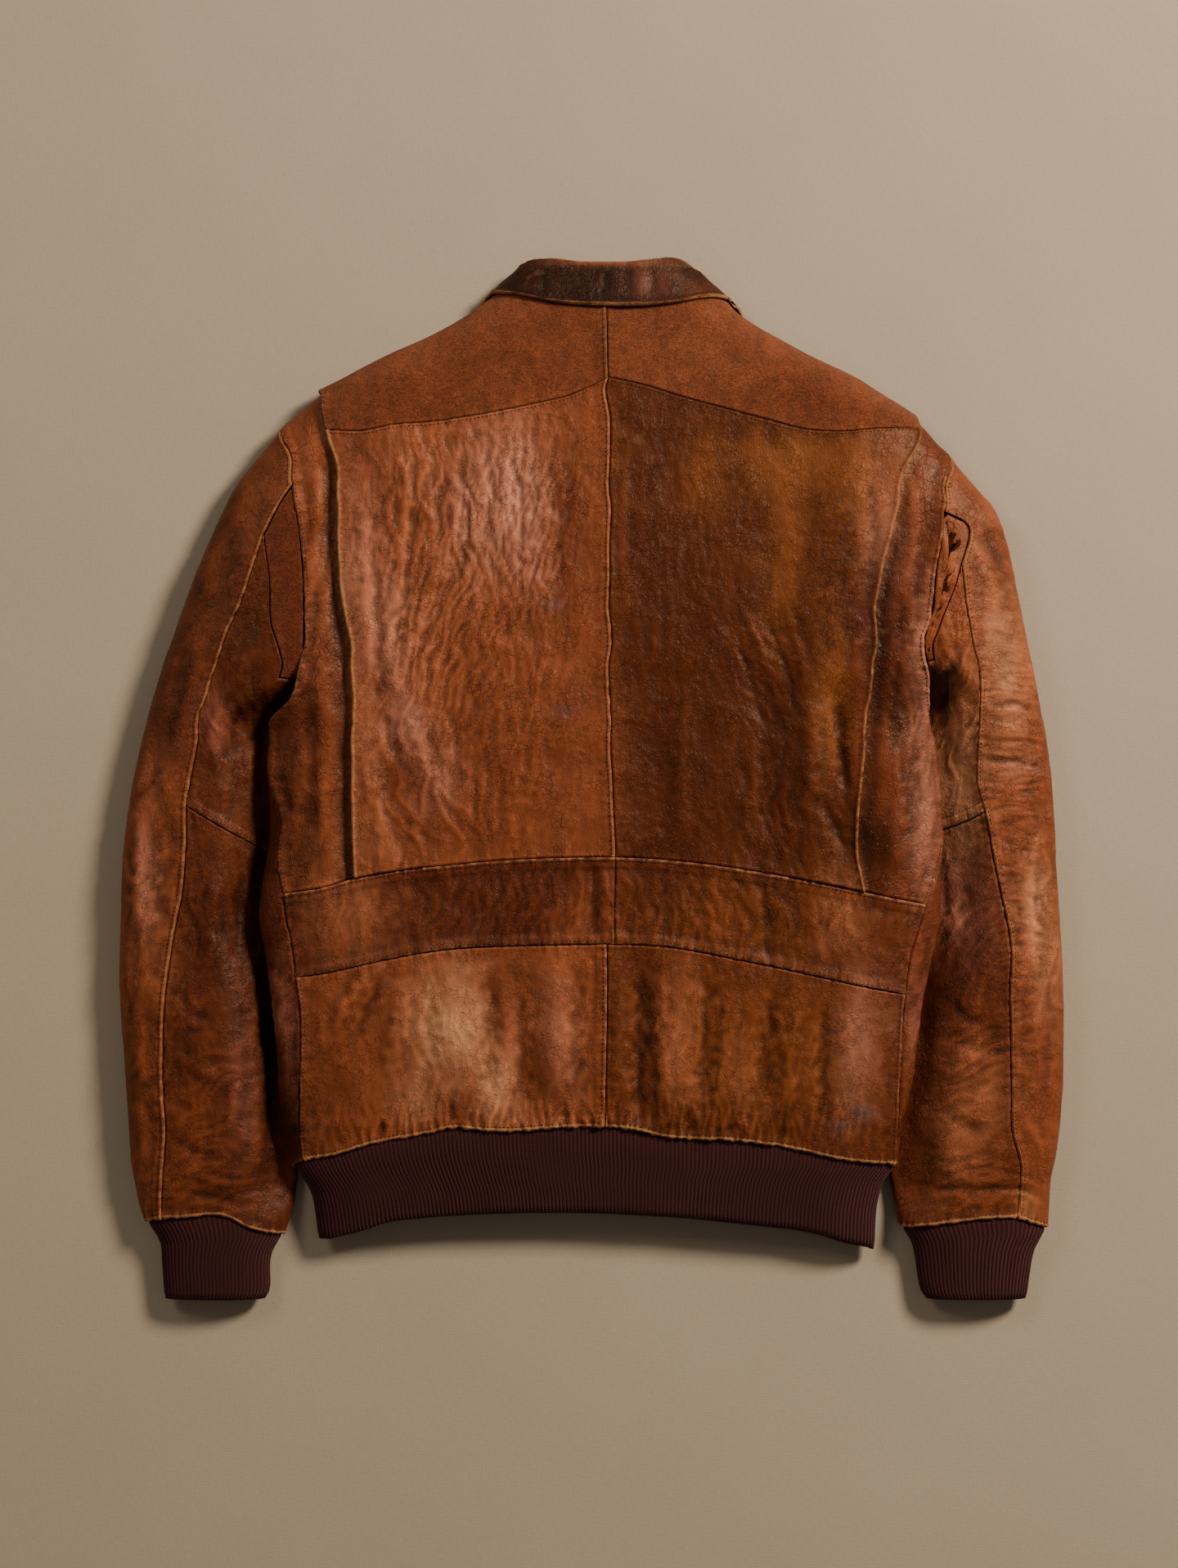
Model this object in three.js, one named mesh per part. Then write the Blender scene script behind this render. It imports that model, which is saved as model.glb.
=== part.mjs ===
// A worn leather flight jacket with a bi-swing back, closed and laid face down.
// Millimetres. +Z is up, +Y runs to the collar, +X is to the right seen from above, and the
// origin is on the floor below the middle of the outline. "Left" is the wearer's left, at -X.
import * as THREE from 'three';

// ---------------------------------------------------------------- driving dimensions
const LEATHER = 2.0;        // wall of every leather piece
const KNIT = 2.6;           // wall of the waistband and the cuffs
const SEAM_GAP = 0.4;       // between two pieces at a seam
const WIDE_INSET = 0.9;     // the same, taken by one piece alone where its neighbour bends sharply
const PLEAT_LIFT = 3.2;     // a pleat's free edge above the panel that it folds over
const COLLAR_LIFT = 3.4;    // the collar leaf outside the yoke, the fronts and the stand
const LAP_LIFT = 3.4;       // the right front inside the left front where they lap
const LAP_HALF = 14;        // half the lap's width
const CENTRE_FRONT = 10;    // x of the lap's middle
const SEAM_ROOM = 12;       // from a sleeve's inner fold to its front seam, underneath
const HEM_DIP = 22;         // the front hem is this much lower at the sides than in the middle
const TUBE_REST = 4.5;      // radius of the sleeve's inner fold, where the body lies on it

// Heights above the floor, as [y, z]: the crown of the body, its side folds, and how far in
// from a fold the section is still round, as [y, width].
const BODY_CROWN = [[-352, 22], [-290, 34], [-250, 40], [-100, 44], [110, 44], [250, 38], [320, 33],
  [360, 29], [390, 21]];
const BODY_FOLD = [[-352, 10], [-290, 18], [-250, 22], [-200, 24], [60, 25], [85, 20], [120, 14],
  [250, 12], [390, 11]];
const BODY_ROUND = [[-352, 40], [-250, 60], [110, 60], [260, 60], [340, 52], [390, 34]];
const SLEEVE_CROWN = [[-388, 22], [-335, 28], [-200, 34], [0, 36], [60, 40], [110, 44], [250, 38]];
const SLEEVE_OUTER_FOLD = [[-388, 10], [-300, 13], [110, 14], [250, 12]];
const SLEEVE_INNER_FOLD = [[-388, 10], [-340, 9], [-300, 6], [40, 6], [68, 5], [90, 12], [110, 20]];
const SLEEVE_ROUND = [[-388, 34], [-320, 44], [60, 48], [110, 60]];
const COVERED = [[-330, 0], [-300, 1], [60, 1], [85, 0]];  // 1 where the body lies on the sleeve

// The largest folds: from, to, half width, and height above (or depth below) the smooth shape.
const LARGE_FOLDS = [
  { from: [-55, -150], to: [-52, -235], width: 15, height: -3.0 },
  { from: [-100, -150], to: [-98, -225], width: 18, height: 2.2 },
  { from: [-30, -150], to: [-28, -220], width: 13, height: 2.4 },
  { from: [36, -140], to: [33, -245], width: 16, height: -3.0 },
  { from: [68, -145], to: [66, -240], width: 14, height: 2.2 },
  { from: [120, -150], to: [103, -235], width: 15, height: 2.4 },
  { from: [-165, -145], to: [-192, -195], width: 15, height: 2.4 },
  { from: [-160, 60], to: [-138, -40], width: 16, height: -2.6 },
  { from: [-135, 240], to: [-150, 60], width: 18, height: 1.8 },
  { from: [52, 70], to: [50, -50], width: 18, height: -2.4 },
  { from: [130, 60], to: [132, -55], width: 18, height: -2.4 },
  { from: [182, 60], to: [187, -55], width: 13, height: -2.8 },
  { from: [-262, -150], to: [-256, -280], width: 14, height: 3.0 },
  { from: [285, -90], to: [288, -200], width: 16, height: -2.4 },
];

// ---------------------------------------------------------------- outline and seams
// Edges that run up the jacket are [y, x], edges that run across it are [x, y].
// bodyEdge is the side fold below the underarm and the silhouette above it, with an easy
// change from one to the other where the sleeve hides it.
const SIDES = {
  left: {
    sign: -1,
    bodyEdge: [[-352, -205], [-330, -207], [-315, -209], [-305, -212], [-296, -218], [-288, -224],
      [-275, -229],
      [-240, -233], [-200, -236], [-160, -240], [-125, -245], [-100, -249], [-80, -247], [-40, -241],
      [10, -242],
      [38, -241], [50, -250], [70, -275], [90, -297], [120, -310], [160, -295], [200, -278], [220, -268],
      [250, -244], [270, -226], [290, -202], [300, -183], [320, -147], [340, -109], [350, -92], [362, -76],
      [370, -67], [380, -55], [386, -48], [390, -40]],
    sleeveOuter: [[-388, -321], [-360, -323], [-346, -324], [-338, -328.5], [-330, -334.5], [-320, -339],
      [-300, -343], [-280, -346], [-220, -350], [-160, -354], [-80, -353], [-40, -350], [0, -344], [40, -335],
      [80, -324], [120, -310], [160, -295], [200, -278], [220, -268], [250, -244], [270, -226],
      [290, -202], [300, -183]],
    sleeveInner: [[-388, -245], [-380, -242], [-362, -242], [-352, -240], [-346, -236], [-340, -231.5],
      [-330, -228], [-320, -225], [-300, -222], [-270, -221], [-240, -224], [-200, -226], [-160, -230],
      [-125, -235], [-100, -238], [-80, -236], [-40, -231], [0, -231], [38, -234], [50, -227], [60, -211],
      [75, -188], [90, -165], [110, -150], [270, -140]],
    armhole: [[38, -241], [48, -235], [60, -226], [73, -220], [85, -217], [100, -214], [120, -213.5],
      [140, -214], [160, -215], [180, -217], [200, -220], [222, -223], [240, -225], [268, -227.8]],
    armholeRows: [38, 56, 74, 100, 125, 150, 183, 220, 245, 268],
    sideSeam: [[-285, -215], [-260, -218], [-190, -217], [-155, -218], [-143, -221], [-130, -223],
      [-100, -227],
      [-84, -229], [-60, -234], [-45, -233], [-30, -231], [-22, -233], [-10, -238], [2, -241]],
    sideRows: [-54, -24, 8],
    pleat: [[-73, -177], [-28, -179], [40, -179], [90, -179], [120, -184], [160, -189], [220, -190],
      [240, -191],
      [252, -193], [262, -199], [290, -202]],
    yokeSeam: [[-199, 260], [-175, 259], [-150, 264], [-130, 265.5], [-90, 271], [-60, 276.5], [-40, 281],
      [-20, 286], [0, 292], [12, 300]],
    neckSeam: [[-50, 370], [-30, 368], [-10, 365.5]],
    shoulderRows: [268, 279, 290, 308, 328, 348, 366],
    frontNeck: [[-76, 344], [-63, 324], [-44, 307], [-20, 296]],
    sleeveSeam: [[-326, -321], [-312, -322], [-288, -320], [-260, -318], [-215, -320.5], [-180, -319],
      [-150, -317], [-130, -314], [-95, -307], [-75, -304], [-60, -302.5], [-30, -303], [-10, -301],
      [20, -295],
      [55, -289], [72, -283], [90, -278], [105, -273], [120, -265], [183, -244]],
    gussetLower: [[-233, 76], [-237, 110], [-240, 150], [-244, 183]],
    gussetMid: [-234, 203],
    elbowSeam: [[-302, -18], [-290, -26], [-270, -38], [-250, -50], [-240, -55]],
    cuffSeam: [[-336, -330], [-315, -326], [-300, -325.5], [-285, -323.5], [-270, -326], [-260, -332],
      [-250, -336], [-231, -340]],
    collarEdge: [[-42, 240], [-72, 264], [-92, 296], [-95, 328], [-88, 350]],
  },
  right: {
    sign: 1,
    bodyEdge: [[-352, 211], [-322, 212], [-310, 214], [-300, 217], [-294, 221], [-288, 226], [-258, 231],
      [-240, 235], [-200, 241], [-170, 245], [-145, 250], [-108, 258], [-90, 259], [-45, 260], [0, 258],
      [25, 255], [50, 249.5], [60, 253], [70, 262], [90, 290], [105, 311], [120, 322], [160, 314], [200, 302],
      [220, 286], [250, 260], [270, 241], [290, 210], [300, 195], [320, 160], [340, 124], [350, 109],
      [360, 99], [370, 87.5], [380, 75.5], [385, 69], [390, 52]],
    sleeveOuter: [[-388, 325], [-372, 327], [-358, 329], [-348, 332], [-335, 340], [-300, 343], [-280, 347],
      [-250, 350.5], [-220, 352.5], [-150, 351.5], [-80, 348], [0, 343.5], [40, 338], [80, 330], [120, 322],
      [160, 314], [200, 302], [220, 286], [250, 260], [270, 241], [290, 210]],
    sleeveInner: [[-388, 249], [-380, 245], [-355, 241], [-344, 238], [-336, 232], [-330, 228], [-310, 225],
      [-300, 223], [-270, 220], [-240, 226], [-200, 232], [-170, 236], [-145, 240], [-118, 246], [-90, 249],
      [-45, 250], [0, 248], [50, 243], [60, 242], [70, 238], [80, 228], [90, 213], [105, 190], [125, 175],
      [250, 160]],
    armhole: [[50, 249.5], [55, 248.4], [70, 250], [78, 249.5], [88, 247], [98, 244.5], [108, 246],
      [120, 250],
      [135, 252], [155, 254], [175, 257], [200, 260], [215, 262], [235, 263], [247, 262.6]],
    armholeRows: [50, 68, 87, 105, 123, 141, 160, 200, 224, 247],
    sideSeam: [[-287, 225], [-265, 226], [-200, 229], [-158, 232], [-127, 237], [-103, 243], [-92, 247],
      [-68, 255], [-54, 260]],
    sideRows: [-62, -30, 8],
    pleat: [[-80, 201.5], [-65, 199], [-55, 197], [-40, 196], [-10, 199], [40, 202.5], [85, 208], [135, 211],
      [165, 217], [200, 226], [235, 233], [250, 238], [261, 243], [271, 240.5]],
    yokeSeam: [[12, 300], [30, 297], [50, 290], [90, 279], [130, 268], [150, 262.5], [178, 259], [200, 261],
      [243, 261.5]],
    neckSeam: [[72, 364.5], [50, 365], [30, 364.5]],
    shoulderRows: [247, 259, 271, 292, 314, 336, 358],
    frontNeck: [[96, 340], [83, 322], [64, 306], [40, 296]],
    sleeveSeam: [[-328, 316], [-305, 318], [-295, 319], [-275, 313], [-250, 311], [-215, 311], [-160, 309.5],
      [-115, 310], [-85, 303], [-55, 297], [-38, 294], [-15, 290], [5, 285], [25, 286], [60, 287], [82, 286],
      [100, 282], [120, 278], [140, 275], [160, 273]],
    gussetLower: [[253, 89], [256, 113], [266, 138], [273, 160]],
    gussetMid: [279, 188],
    elbowSeam: [[291.5, -23], [280, -29.5], [270, -34], [259, -38], [254, -40]],
    cuffSeam: [[228, -334], [245, -333], [275, -329], [305, -326], [317, -326], [325, -329], [333, -333],
      [341, -334]],
    collarEdge: [[62, 240], [92, 264], [112, 296], [117, 322], [113, 340]],
  },
};
const BELT_TOP = [[-230, -84], [-215, -82], [-200, -79], [-180, -73], [-140, -66], [-100, -62], [-60, -58.5],
  [15, -56.5], [50, -58.5], [90, -62.5], [130, -69], [170, -76], [210, -84.5], [247, -92]];
const BELT_BOTTOM = [[-221, -146], [-200, -143], [-160, -134], [-120, -126.5], [-80, -123], [20, -121],
  [60, -123.5], [100, -131], [140, -139], [180, -148], [232, -159]];
const HEM = [[-224, -288], [-215, -283], [-200, -281], [-175, -273], [-155, -268], [-130, -264], [-105, -258],
  [-70, -261], [-40, -259], [0, -257], [20, -257.5], [45, -263], [60, -266], [95, -267], [125, -270],
  [155, -275], [185, -282], [226, -287]];
const BAND_BOTTOM = [[-205, -343], [-195, -342.5], [-180, -339], [-165, -333], [-150, -329], [-110, -325],
  [-50, -322.5], [10, -323], [70, -326.5], [130, -333], [160, -337], [190, -346], [208, -351]];
const CENTRE_BACK = [[-57, 16.5], [-20, 15], [10, 14], [50, 12.5], [240, 12.5], [270, 12.5], [300, 11]];
const CENTRE_YOKE = [[300, 11], [365, 10]];
const CENTRE_BELT = [[-121, 16], [-57, 16.5]];
const CENTRE_LOWER = [[-257, 8.5], [-240, 9], [-160, 10.5], [-121, 10]];
// The collar's lower edge on the back, and its fold all round, from the left front to the right.
const LEAF_EDGE = [[-70, 362.3], [-56, 361], [-38, 357.5], [-20, 354.5], [0, 353], [20, 352.5],
  [40, 353], [60, 355],
  [80, 358.5], [93, 359.5], [104, 357]];
const LEAF_FOLD_BACK = [[-64, 374], [-57, 379], [-46, 386], [-28, 388], [-8, 386.5], [15, 386],
  [40, 387], [58, 387],
  [72, 382], [80, 376], [86, 371.5]];
const LEAF_FOLD_LEFT = [[0, 301], [-26, 308], [-50, 326], [-62, 345], [-67, 361]];
const LEAF_FOLD_RIGHT = [[20, 301], [47, 308], [71, 326], [83, 343], [89, 357]];
const LEAF_END_ROWS = { left: [361, 371], right: [351, 367] };  // the leaf's edge and fold at its side folds
const CUFF_END = -388;
const OUTLINE_CENTRE = [-1.56, 0.99];  // the middle of the finished outline, moved to the origin

// ---------------------------------------------------------------- curves
/** A smooth function through [key, value] pairs with rising keys, straight on past both ends. */
function through(pairs) {
  const last = pairs.length - 1;
  const slopes = pairs.map((pair, i) => {
    const before = pairs[Math.max(i - 1, 0)];
    const after = pairs[Math.min(i + 1, last)];
    return (after[1] - before[1]) / (after[0] - before[0]);
  });
  return (key) => {
    const held = THREE.MathUtils.clamp(key, pairs[0][0], pairs[last][0]);
    let i = 0;
    while (i < last - 1 && held > pairs[i + 1][0]) i += 1;
    const span = pairs[i + 1][0] - pairs[i][0];
    const t = (held - pairs[i][0]) / span;
    const rest = 1 - t;
    return pairs[i][1] * rest * rest * (1 + 2 * t) + pairs[i + 1][1] * t * t * (3 - 2 * t)
      + span * t * rest * (slopes[i] * rest - slopes[i + 1] * t);
  };
}

/** Rises from 0 to 1 like a quarter circle. */
function quarterRound(share) {
  const rest = 1 - THREE.MathUtils.clamp(share, 0, 1);
  return Math.sqrt(1 - rest * rest);
}

const smoothRise = (value, start, length) => THREE.MathUtils.smoothstep(value, start, start + length);
const steps = (count) => Array.from({ length: count + 1 }, (_, i) => i / count);

// ---------------------------------------------------------------- the garment's surface
const bodyLeft = through(SIDES.left.bodyEdge);
const bodyRight = through(SIDES.right.bodyEdge);
const bodyCrown = through(BODY_CROWN);
const bodyFold = through(BODY_FOLD);
const bodyRound = through(BODY_ROUND);
const sleeveCrown = through(SLEEVE_CROWN);
const sleeveOuterFold = through(SLEEVE_OUTER_FOLD);
const sleeveInnerFold = through(SLEEVE_INNER_FOLD);
const sleeveRound = through(SLEEVE_ROUND);
const covered = through(COVERED);

/** Height that the large folds add at a place on the upper side. */
function largeFolds(x, y) {
  let height = 0;
  for (const fold of LARGE_FOLDS) {
    const dx = fold.to[0] - fold.from[0];
    const dy = fold.to[1] - fold.from[1];
    const share = ((x - fold.from[0]) * dx + (y - fold.from[1]) * dy) / (dx * dx + dy * dy);
    const along = THREE.MathUtils.clamp(share, 0, 1);
    const away = Math.hypot(x - fold.from[0] - along * dx, y - fold.from[1] - along * dy) / fold.width;
    height += fold.height * Math.exp(-away * away);
  }
  return height;
}

// A place on a tube is [turn, y]. On the upper side turn goes from 0 at the first fold to 1 at the
// other. On the underside it is negative counted from the first fold, or above 1 past the other.
const foldTurn = (turn) => (turn < 0 ? -turn : turn > 1 ? 2 - turn : turn);
const isUnder = (turn) => turn < 0 || turn > 1;

/** The collar leaf's room below the fronts, near the neck. */
function collarRoom(x, y) {
  const across = 1 - smoothRise(Math.abs(x - CENTRE_FRONT), 112, 30);
  return (COLLAR_LIFT + 0.2) * smoothRise(y, 190, 36) * across;
}

/** A point of the body's tube. */
function bodyPoint(turn, y) {
  const left = bodyLeft(y);
  const right = bodyRight(y);
  const x = (left + right) / 2 - (right - left) / 2 * Math.cos(Math.PI * foldTurn(turn));
  const inside = Math.min(x - left, right - x) / bodyRound(y);
  const fold = bodyFold(y);
  const rise = quarterRound(inside);
  if (isUnder(turn)) {
    return new THREE.Vector3(x, y, (fold - collarRoom(x, y)) * (1 - rise) + collarRoom(x, y));
  }
  return new THREE.Vector3(x, y, fold + (bodyCrown(y) - fold) * rise + largeFolds(x, y) * rise);
}

/** The tube of one sleeve: turn 0 is its outer fold and 1 its inner fold. */
function sleeveTube(side) {
  const outerEdge = through(side.sleeveOuter);
  const innerEdge = through(side.sleeveInner);
  return (turn, y) => {
    const outer = outerEdge(y);
    const inner = innerEdge(y);
    const x = outer + (inner - outer) * (1 - Math.cos(Math.PI * foldTurn(turn))) / 2;
    const fromOuter = Math.abs(x - outer);
    const fromInner = Math.abs(inner - x);
    const crown = sleeveCrown(y);
    const outerFold = sleeveOuterFold(y);
    const innerFold = sleeveInnerFold(y);
    const wide = sleeveRound(y);
    if (isUnder(turn)) {
      const outerRise = outerFold * (1 - quarterRound(fromOuter / wide));
      const innerRise = innerFold * (1 - quarterRound(fromInner / (2 * TUBE_REST + (1 - covered(y)) * 20)));
      return new THREE.Vector3(x, y, Math.max(outerRise, innerRise));
    }
    const outerTop = outerFold + (crown - outerFold) * quarterRound(fromOuter / wide);
    const openTop = innerFold + (crown - innerFold) * quarterRound(fromInner / wide);
    const tuckedTop = innerFold + TUBE_REST * quarterRound(fromInner / TUBE_REST)
      + (crown - innerFold - TUBE_REST) * smoothRise(fromInner, 2, 48);
    const innerTop = openTop + (tuckedTop - openTop) * covered(y);
    const soft = quarterRound(fromOuter / wide) * quarterRound(fromInner / wide);
    return new THREE.Vector3(x, y, Math.min(outerTop, innerTop) + largeFolds(x, y) * soft);
  };
}

/** Adds the outward normal to a tube's points. */
function surfaceOf(tube, outward) {
  const turnStep = 1e-4;
  const rowStep = 0.05;
  return (turn, y) => {
    const across = tube(turn + turnStep, y).sub(tube(turn - turnStep, y));
    const along = tube(turn, y + rowStep).sub(tube(turn, y - rowStep));
    const normal = across.cross(along).normalize().multiplyScalar(outward);
    return { point: tube(turn, y), normal };
  };
}

const bodySurface = surfaceOf(bodyPoint, 1);

/** The turn of a plan point [x, y] on the upper side of the body. */
function bodyTurn([x, y]) {
  const left = bodyLeft(y);
  const right = bodyRight(y);
  const share = THREE.MathUtils.clamp((left + right - 2 * x) / (right - left), -1, 1);
  return Math.acos(share) / Math.PI;
}

// ---------------------------------------------------------------- panels
const looks = {
  hide: { color: 0x7a4220, roughness: 0.5, metalness: 0 },
  darkHide: { color: 0x55301d, roughness: 0.45, metalness: 0 },
  palerHide: { color: 0x9a5b2c, roughness: 0.5, metalness: 0 },
  suede: { color: 0x8f4a22, roughness: 0.95, metalness: 0 },
  knit: { color: 0x432221, roughness: 0.9, metalness: 0 },
};
const jacket = new THREE.Group();

/** Grid of [turn, y] places between four rows of places that share their corners. */
function fillBetween({ bottom, top, left, right }) {
  const across = bottom.length - 1;
  const along = left.length - 1;
  const mix = (a, b, t) => a + (b - a) * t;
  return left.map((leftPlace, j) => bottom.map((bottomPlace, i) => {
    const u = i / across;
    const v = j / along;
    return [0, 1].map((k) => mix(bottomPlace[k], top[i][k], v) + mix(leftPlace[k], right[j][k], u)
      - mix(mix(bottom[0][k], bottom[across][k], u), mix(top[0][k], top[across][k], u), v));
  }));
}

/** Cloth wall on a surface, through a grid of [turn, y] places, as one closed mesh. */
function addPanel(name, look, surface, places, options = {}) {
  const { wall = LEATHER, lift = () => 0, inset = SEAM_GAP / 2, closed = false } = options;
  const grid = places.map((row) => row.map(([turn, y]) => {
    const { point, normal } = surface(turn, y);
    const face = point.clone().addScaledVector(normal, lift(point));
    return { face, back: face.clone().addScaledVector(normal, -wall) };
  }));
  const rows = grid.length;
  const columns = closed ? grid[0].length - 1 : grid[0].length;
  const moves = grid.map((row, j) => row.map((cell, i) => {
    const move = new THREE.Vector3();
    const towards = (other) => move.add(other.face.clone().sub(cell.face).setLength(inset));
    if (!closed && i === 0) towards(row[1]);
    if (!closed && i === columns - 1) towards(row[columns - 2]);
    if (j === 0) towards(grid[1][i]);
    if (j === rows - 1) towards(grid[rows - 2][i]);
    return move;
  }));
  const points = [];
  for (const layer of ['face', 'back']) {
    for (let j = 0; j < rows; j += 1) {
      for (let i = 0; i < columns; i += 1) points.push(grid[j][i][layer].clone().add(moves[j][i]));
    }
  }
  const layerSize = rows * columns;
  const at = (j, i) => j * columns + (i % columns);
  const triangles = [];
  const quad = (a, b, c, d) => triangles.push([a, b, c], [a, c, d]);
  const lastColumn = closed ? columns : columns - 1;
  for (let j = 0; j < rows - 1; j += 1) {
    for (let i = 0; i < lastColumn; i += 1) {
      const [a, b, c, d] = [at(j, i), at(j, i + 1), at(j + 1, i + 1), at(j + 1, i)];
      quad(a, b, c, d);
      quad(a + layerSize, d + layerSize, c + layerSize, b + layerSize);
    }
  }
  const rim = (a, b) => quad(b, a, a + layerSize, b + layerSize);
  for (let i = 0; i < lastColumn; i += 1) {
    rim(at(0, i), at(0, i + 1));
    rim(at(rows - 1, i + 1), at(rows - 1, i));
  }
  if (!closed) {
    for (let j = 0; j < rows - 1; j += 1) {
      rim(at(j + 1, 0), at(j, 0));
      rim(at(j, columns - 1), at(j + 1, columns - 1));
    }
  }
  jacket.add(meshFrom(name, look, points, triangles));
}

/** A named mesh of points and triangles, turned so that its faces point out. */
function meshFrom(name, look, points, triangles) {
  let volume = 0;
  for (const [a, b, c] of triangles) volume += points[a].dot(points[b].clone().cross(points[c]));
  const outwards = volume > 0 ? triangles : triangles.map(([a, b, c]) => [a, c, b]);
  const geometry = new THREE.BufferGeometry();
  geometry.setAttribute('position', new THREE.Float32BufferAttribute(points.flatMap((p) => p.toArray()), 3));
  geometry.setIndex(outwards.flat());
  geometry.computeVertexNormals();
  const mesh = new THREE.Mesh(geometry, new THREE.MeshStandardMaterial(looks[look]));
  mesh.name = name;
  return mesh;
}

// ---------------------------------------------------------------- edges
const onBody = (points) => points.map((point) => [bodyTurn(point), point[1]]);
const joined = (...rows) => rows.flatMap((row, i) => (i === 0 ? row : row.slice(1)));
const reversed = (row) => row.slice().reverse();

/** Points of a seam that runs up, [y, x] pairs, between two heights or at given ones. */
const upSeam = (pairs, heights) => {
  const xAt = through(pairs);
  return heights.map((y) => [xAt(y), y]);
};
const between = (from, to, count) => steps(count).map((t) => from + (to - from) * t);

/** Points of a seam that runs across, [x, y] pairs, between two x. */
const acrossSeam = (pairs, from, to, count) => {
  const yAt = through(pairs);
  return between(from, to, count).map((x) => [x, yAt(x)]);
};

const ACROSS_BACK = 8;
const ACROSS_SIDE = 2;
const ACROSS_LOWER = ACROSS_BACK + ACROSS_SIDE;
const ROWS_BACK = 12;
const ROWS_BELT = 2;
const ROWS_LOWER = 5;
const NECK_FRONT = 292;
const FRONT_SHARES = [0, 0.1, 0.24, 0.42, 0.68];  // of the front hem, from the side fold to the lap
const frontHem = (x) => -264 - HEM_DIP * ((x - CENTRE_FRONT) / 215) ** 2;

/** The place on the front hem at a turn. */
function frontHemPlace(turn) {
  let y = -286;
  for (let pass = 0; pass < 8; pass += 1) y = frontHem(bodyPoint(turn, y).x);
  return [turn, y];
}

/** The pleat and yoke end stand off the side panel that they lie on. */
function pleatLift(side) {
  const pleatAt = through(side.pleat);
  return (point) => {
    const inside = -side.sign * (point.x - pleatAt(point.y));
    return PLEAT_LIFT * (1 - smoothRise(inside, 34, 50));
  };
}

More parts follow.
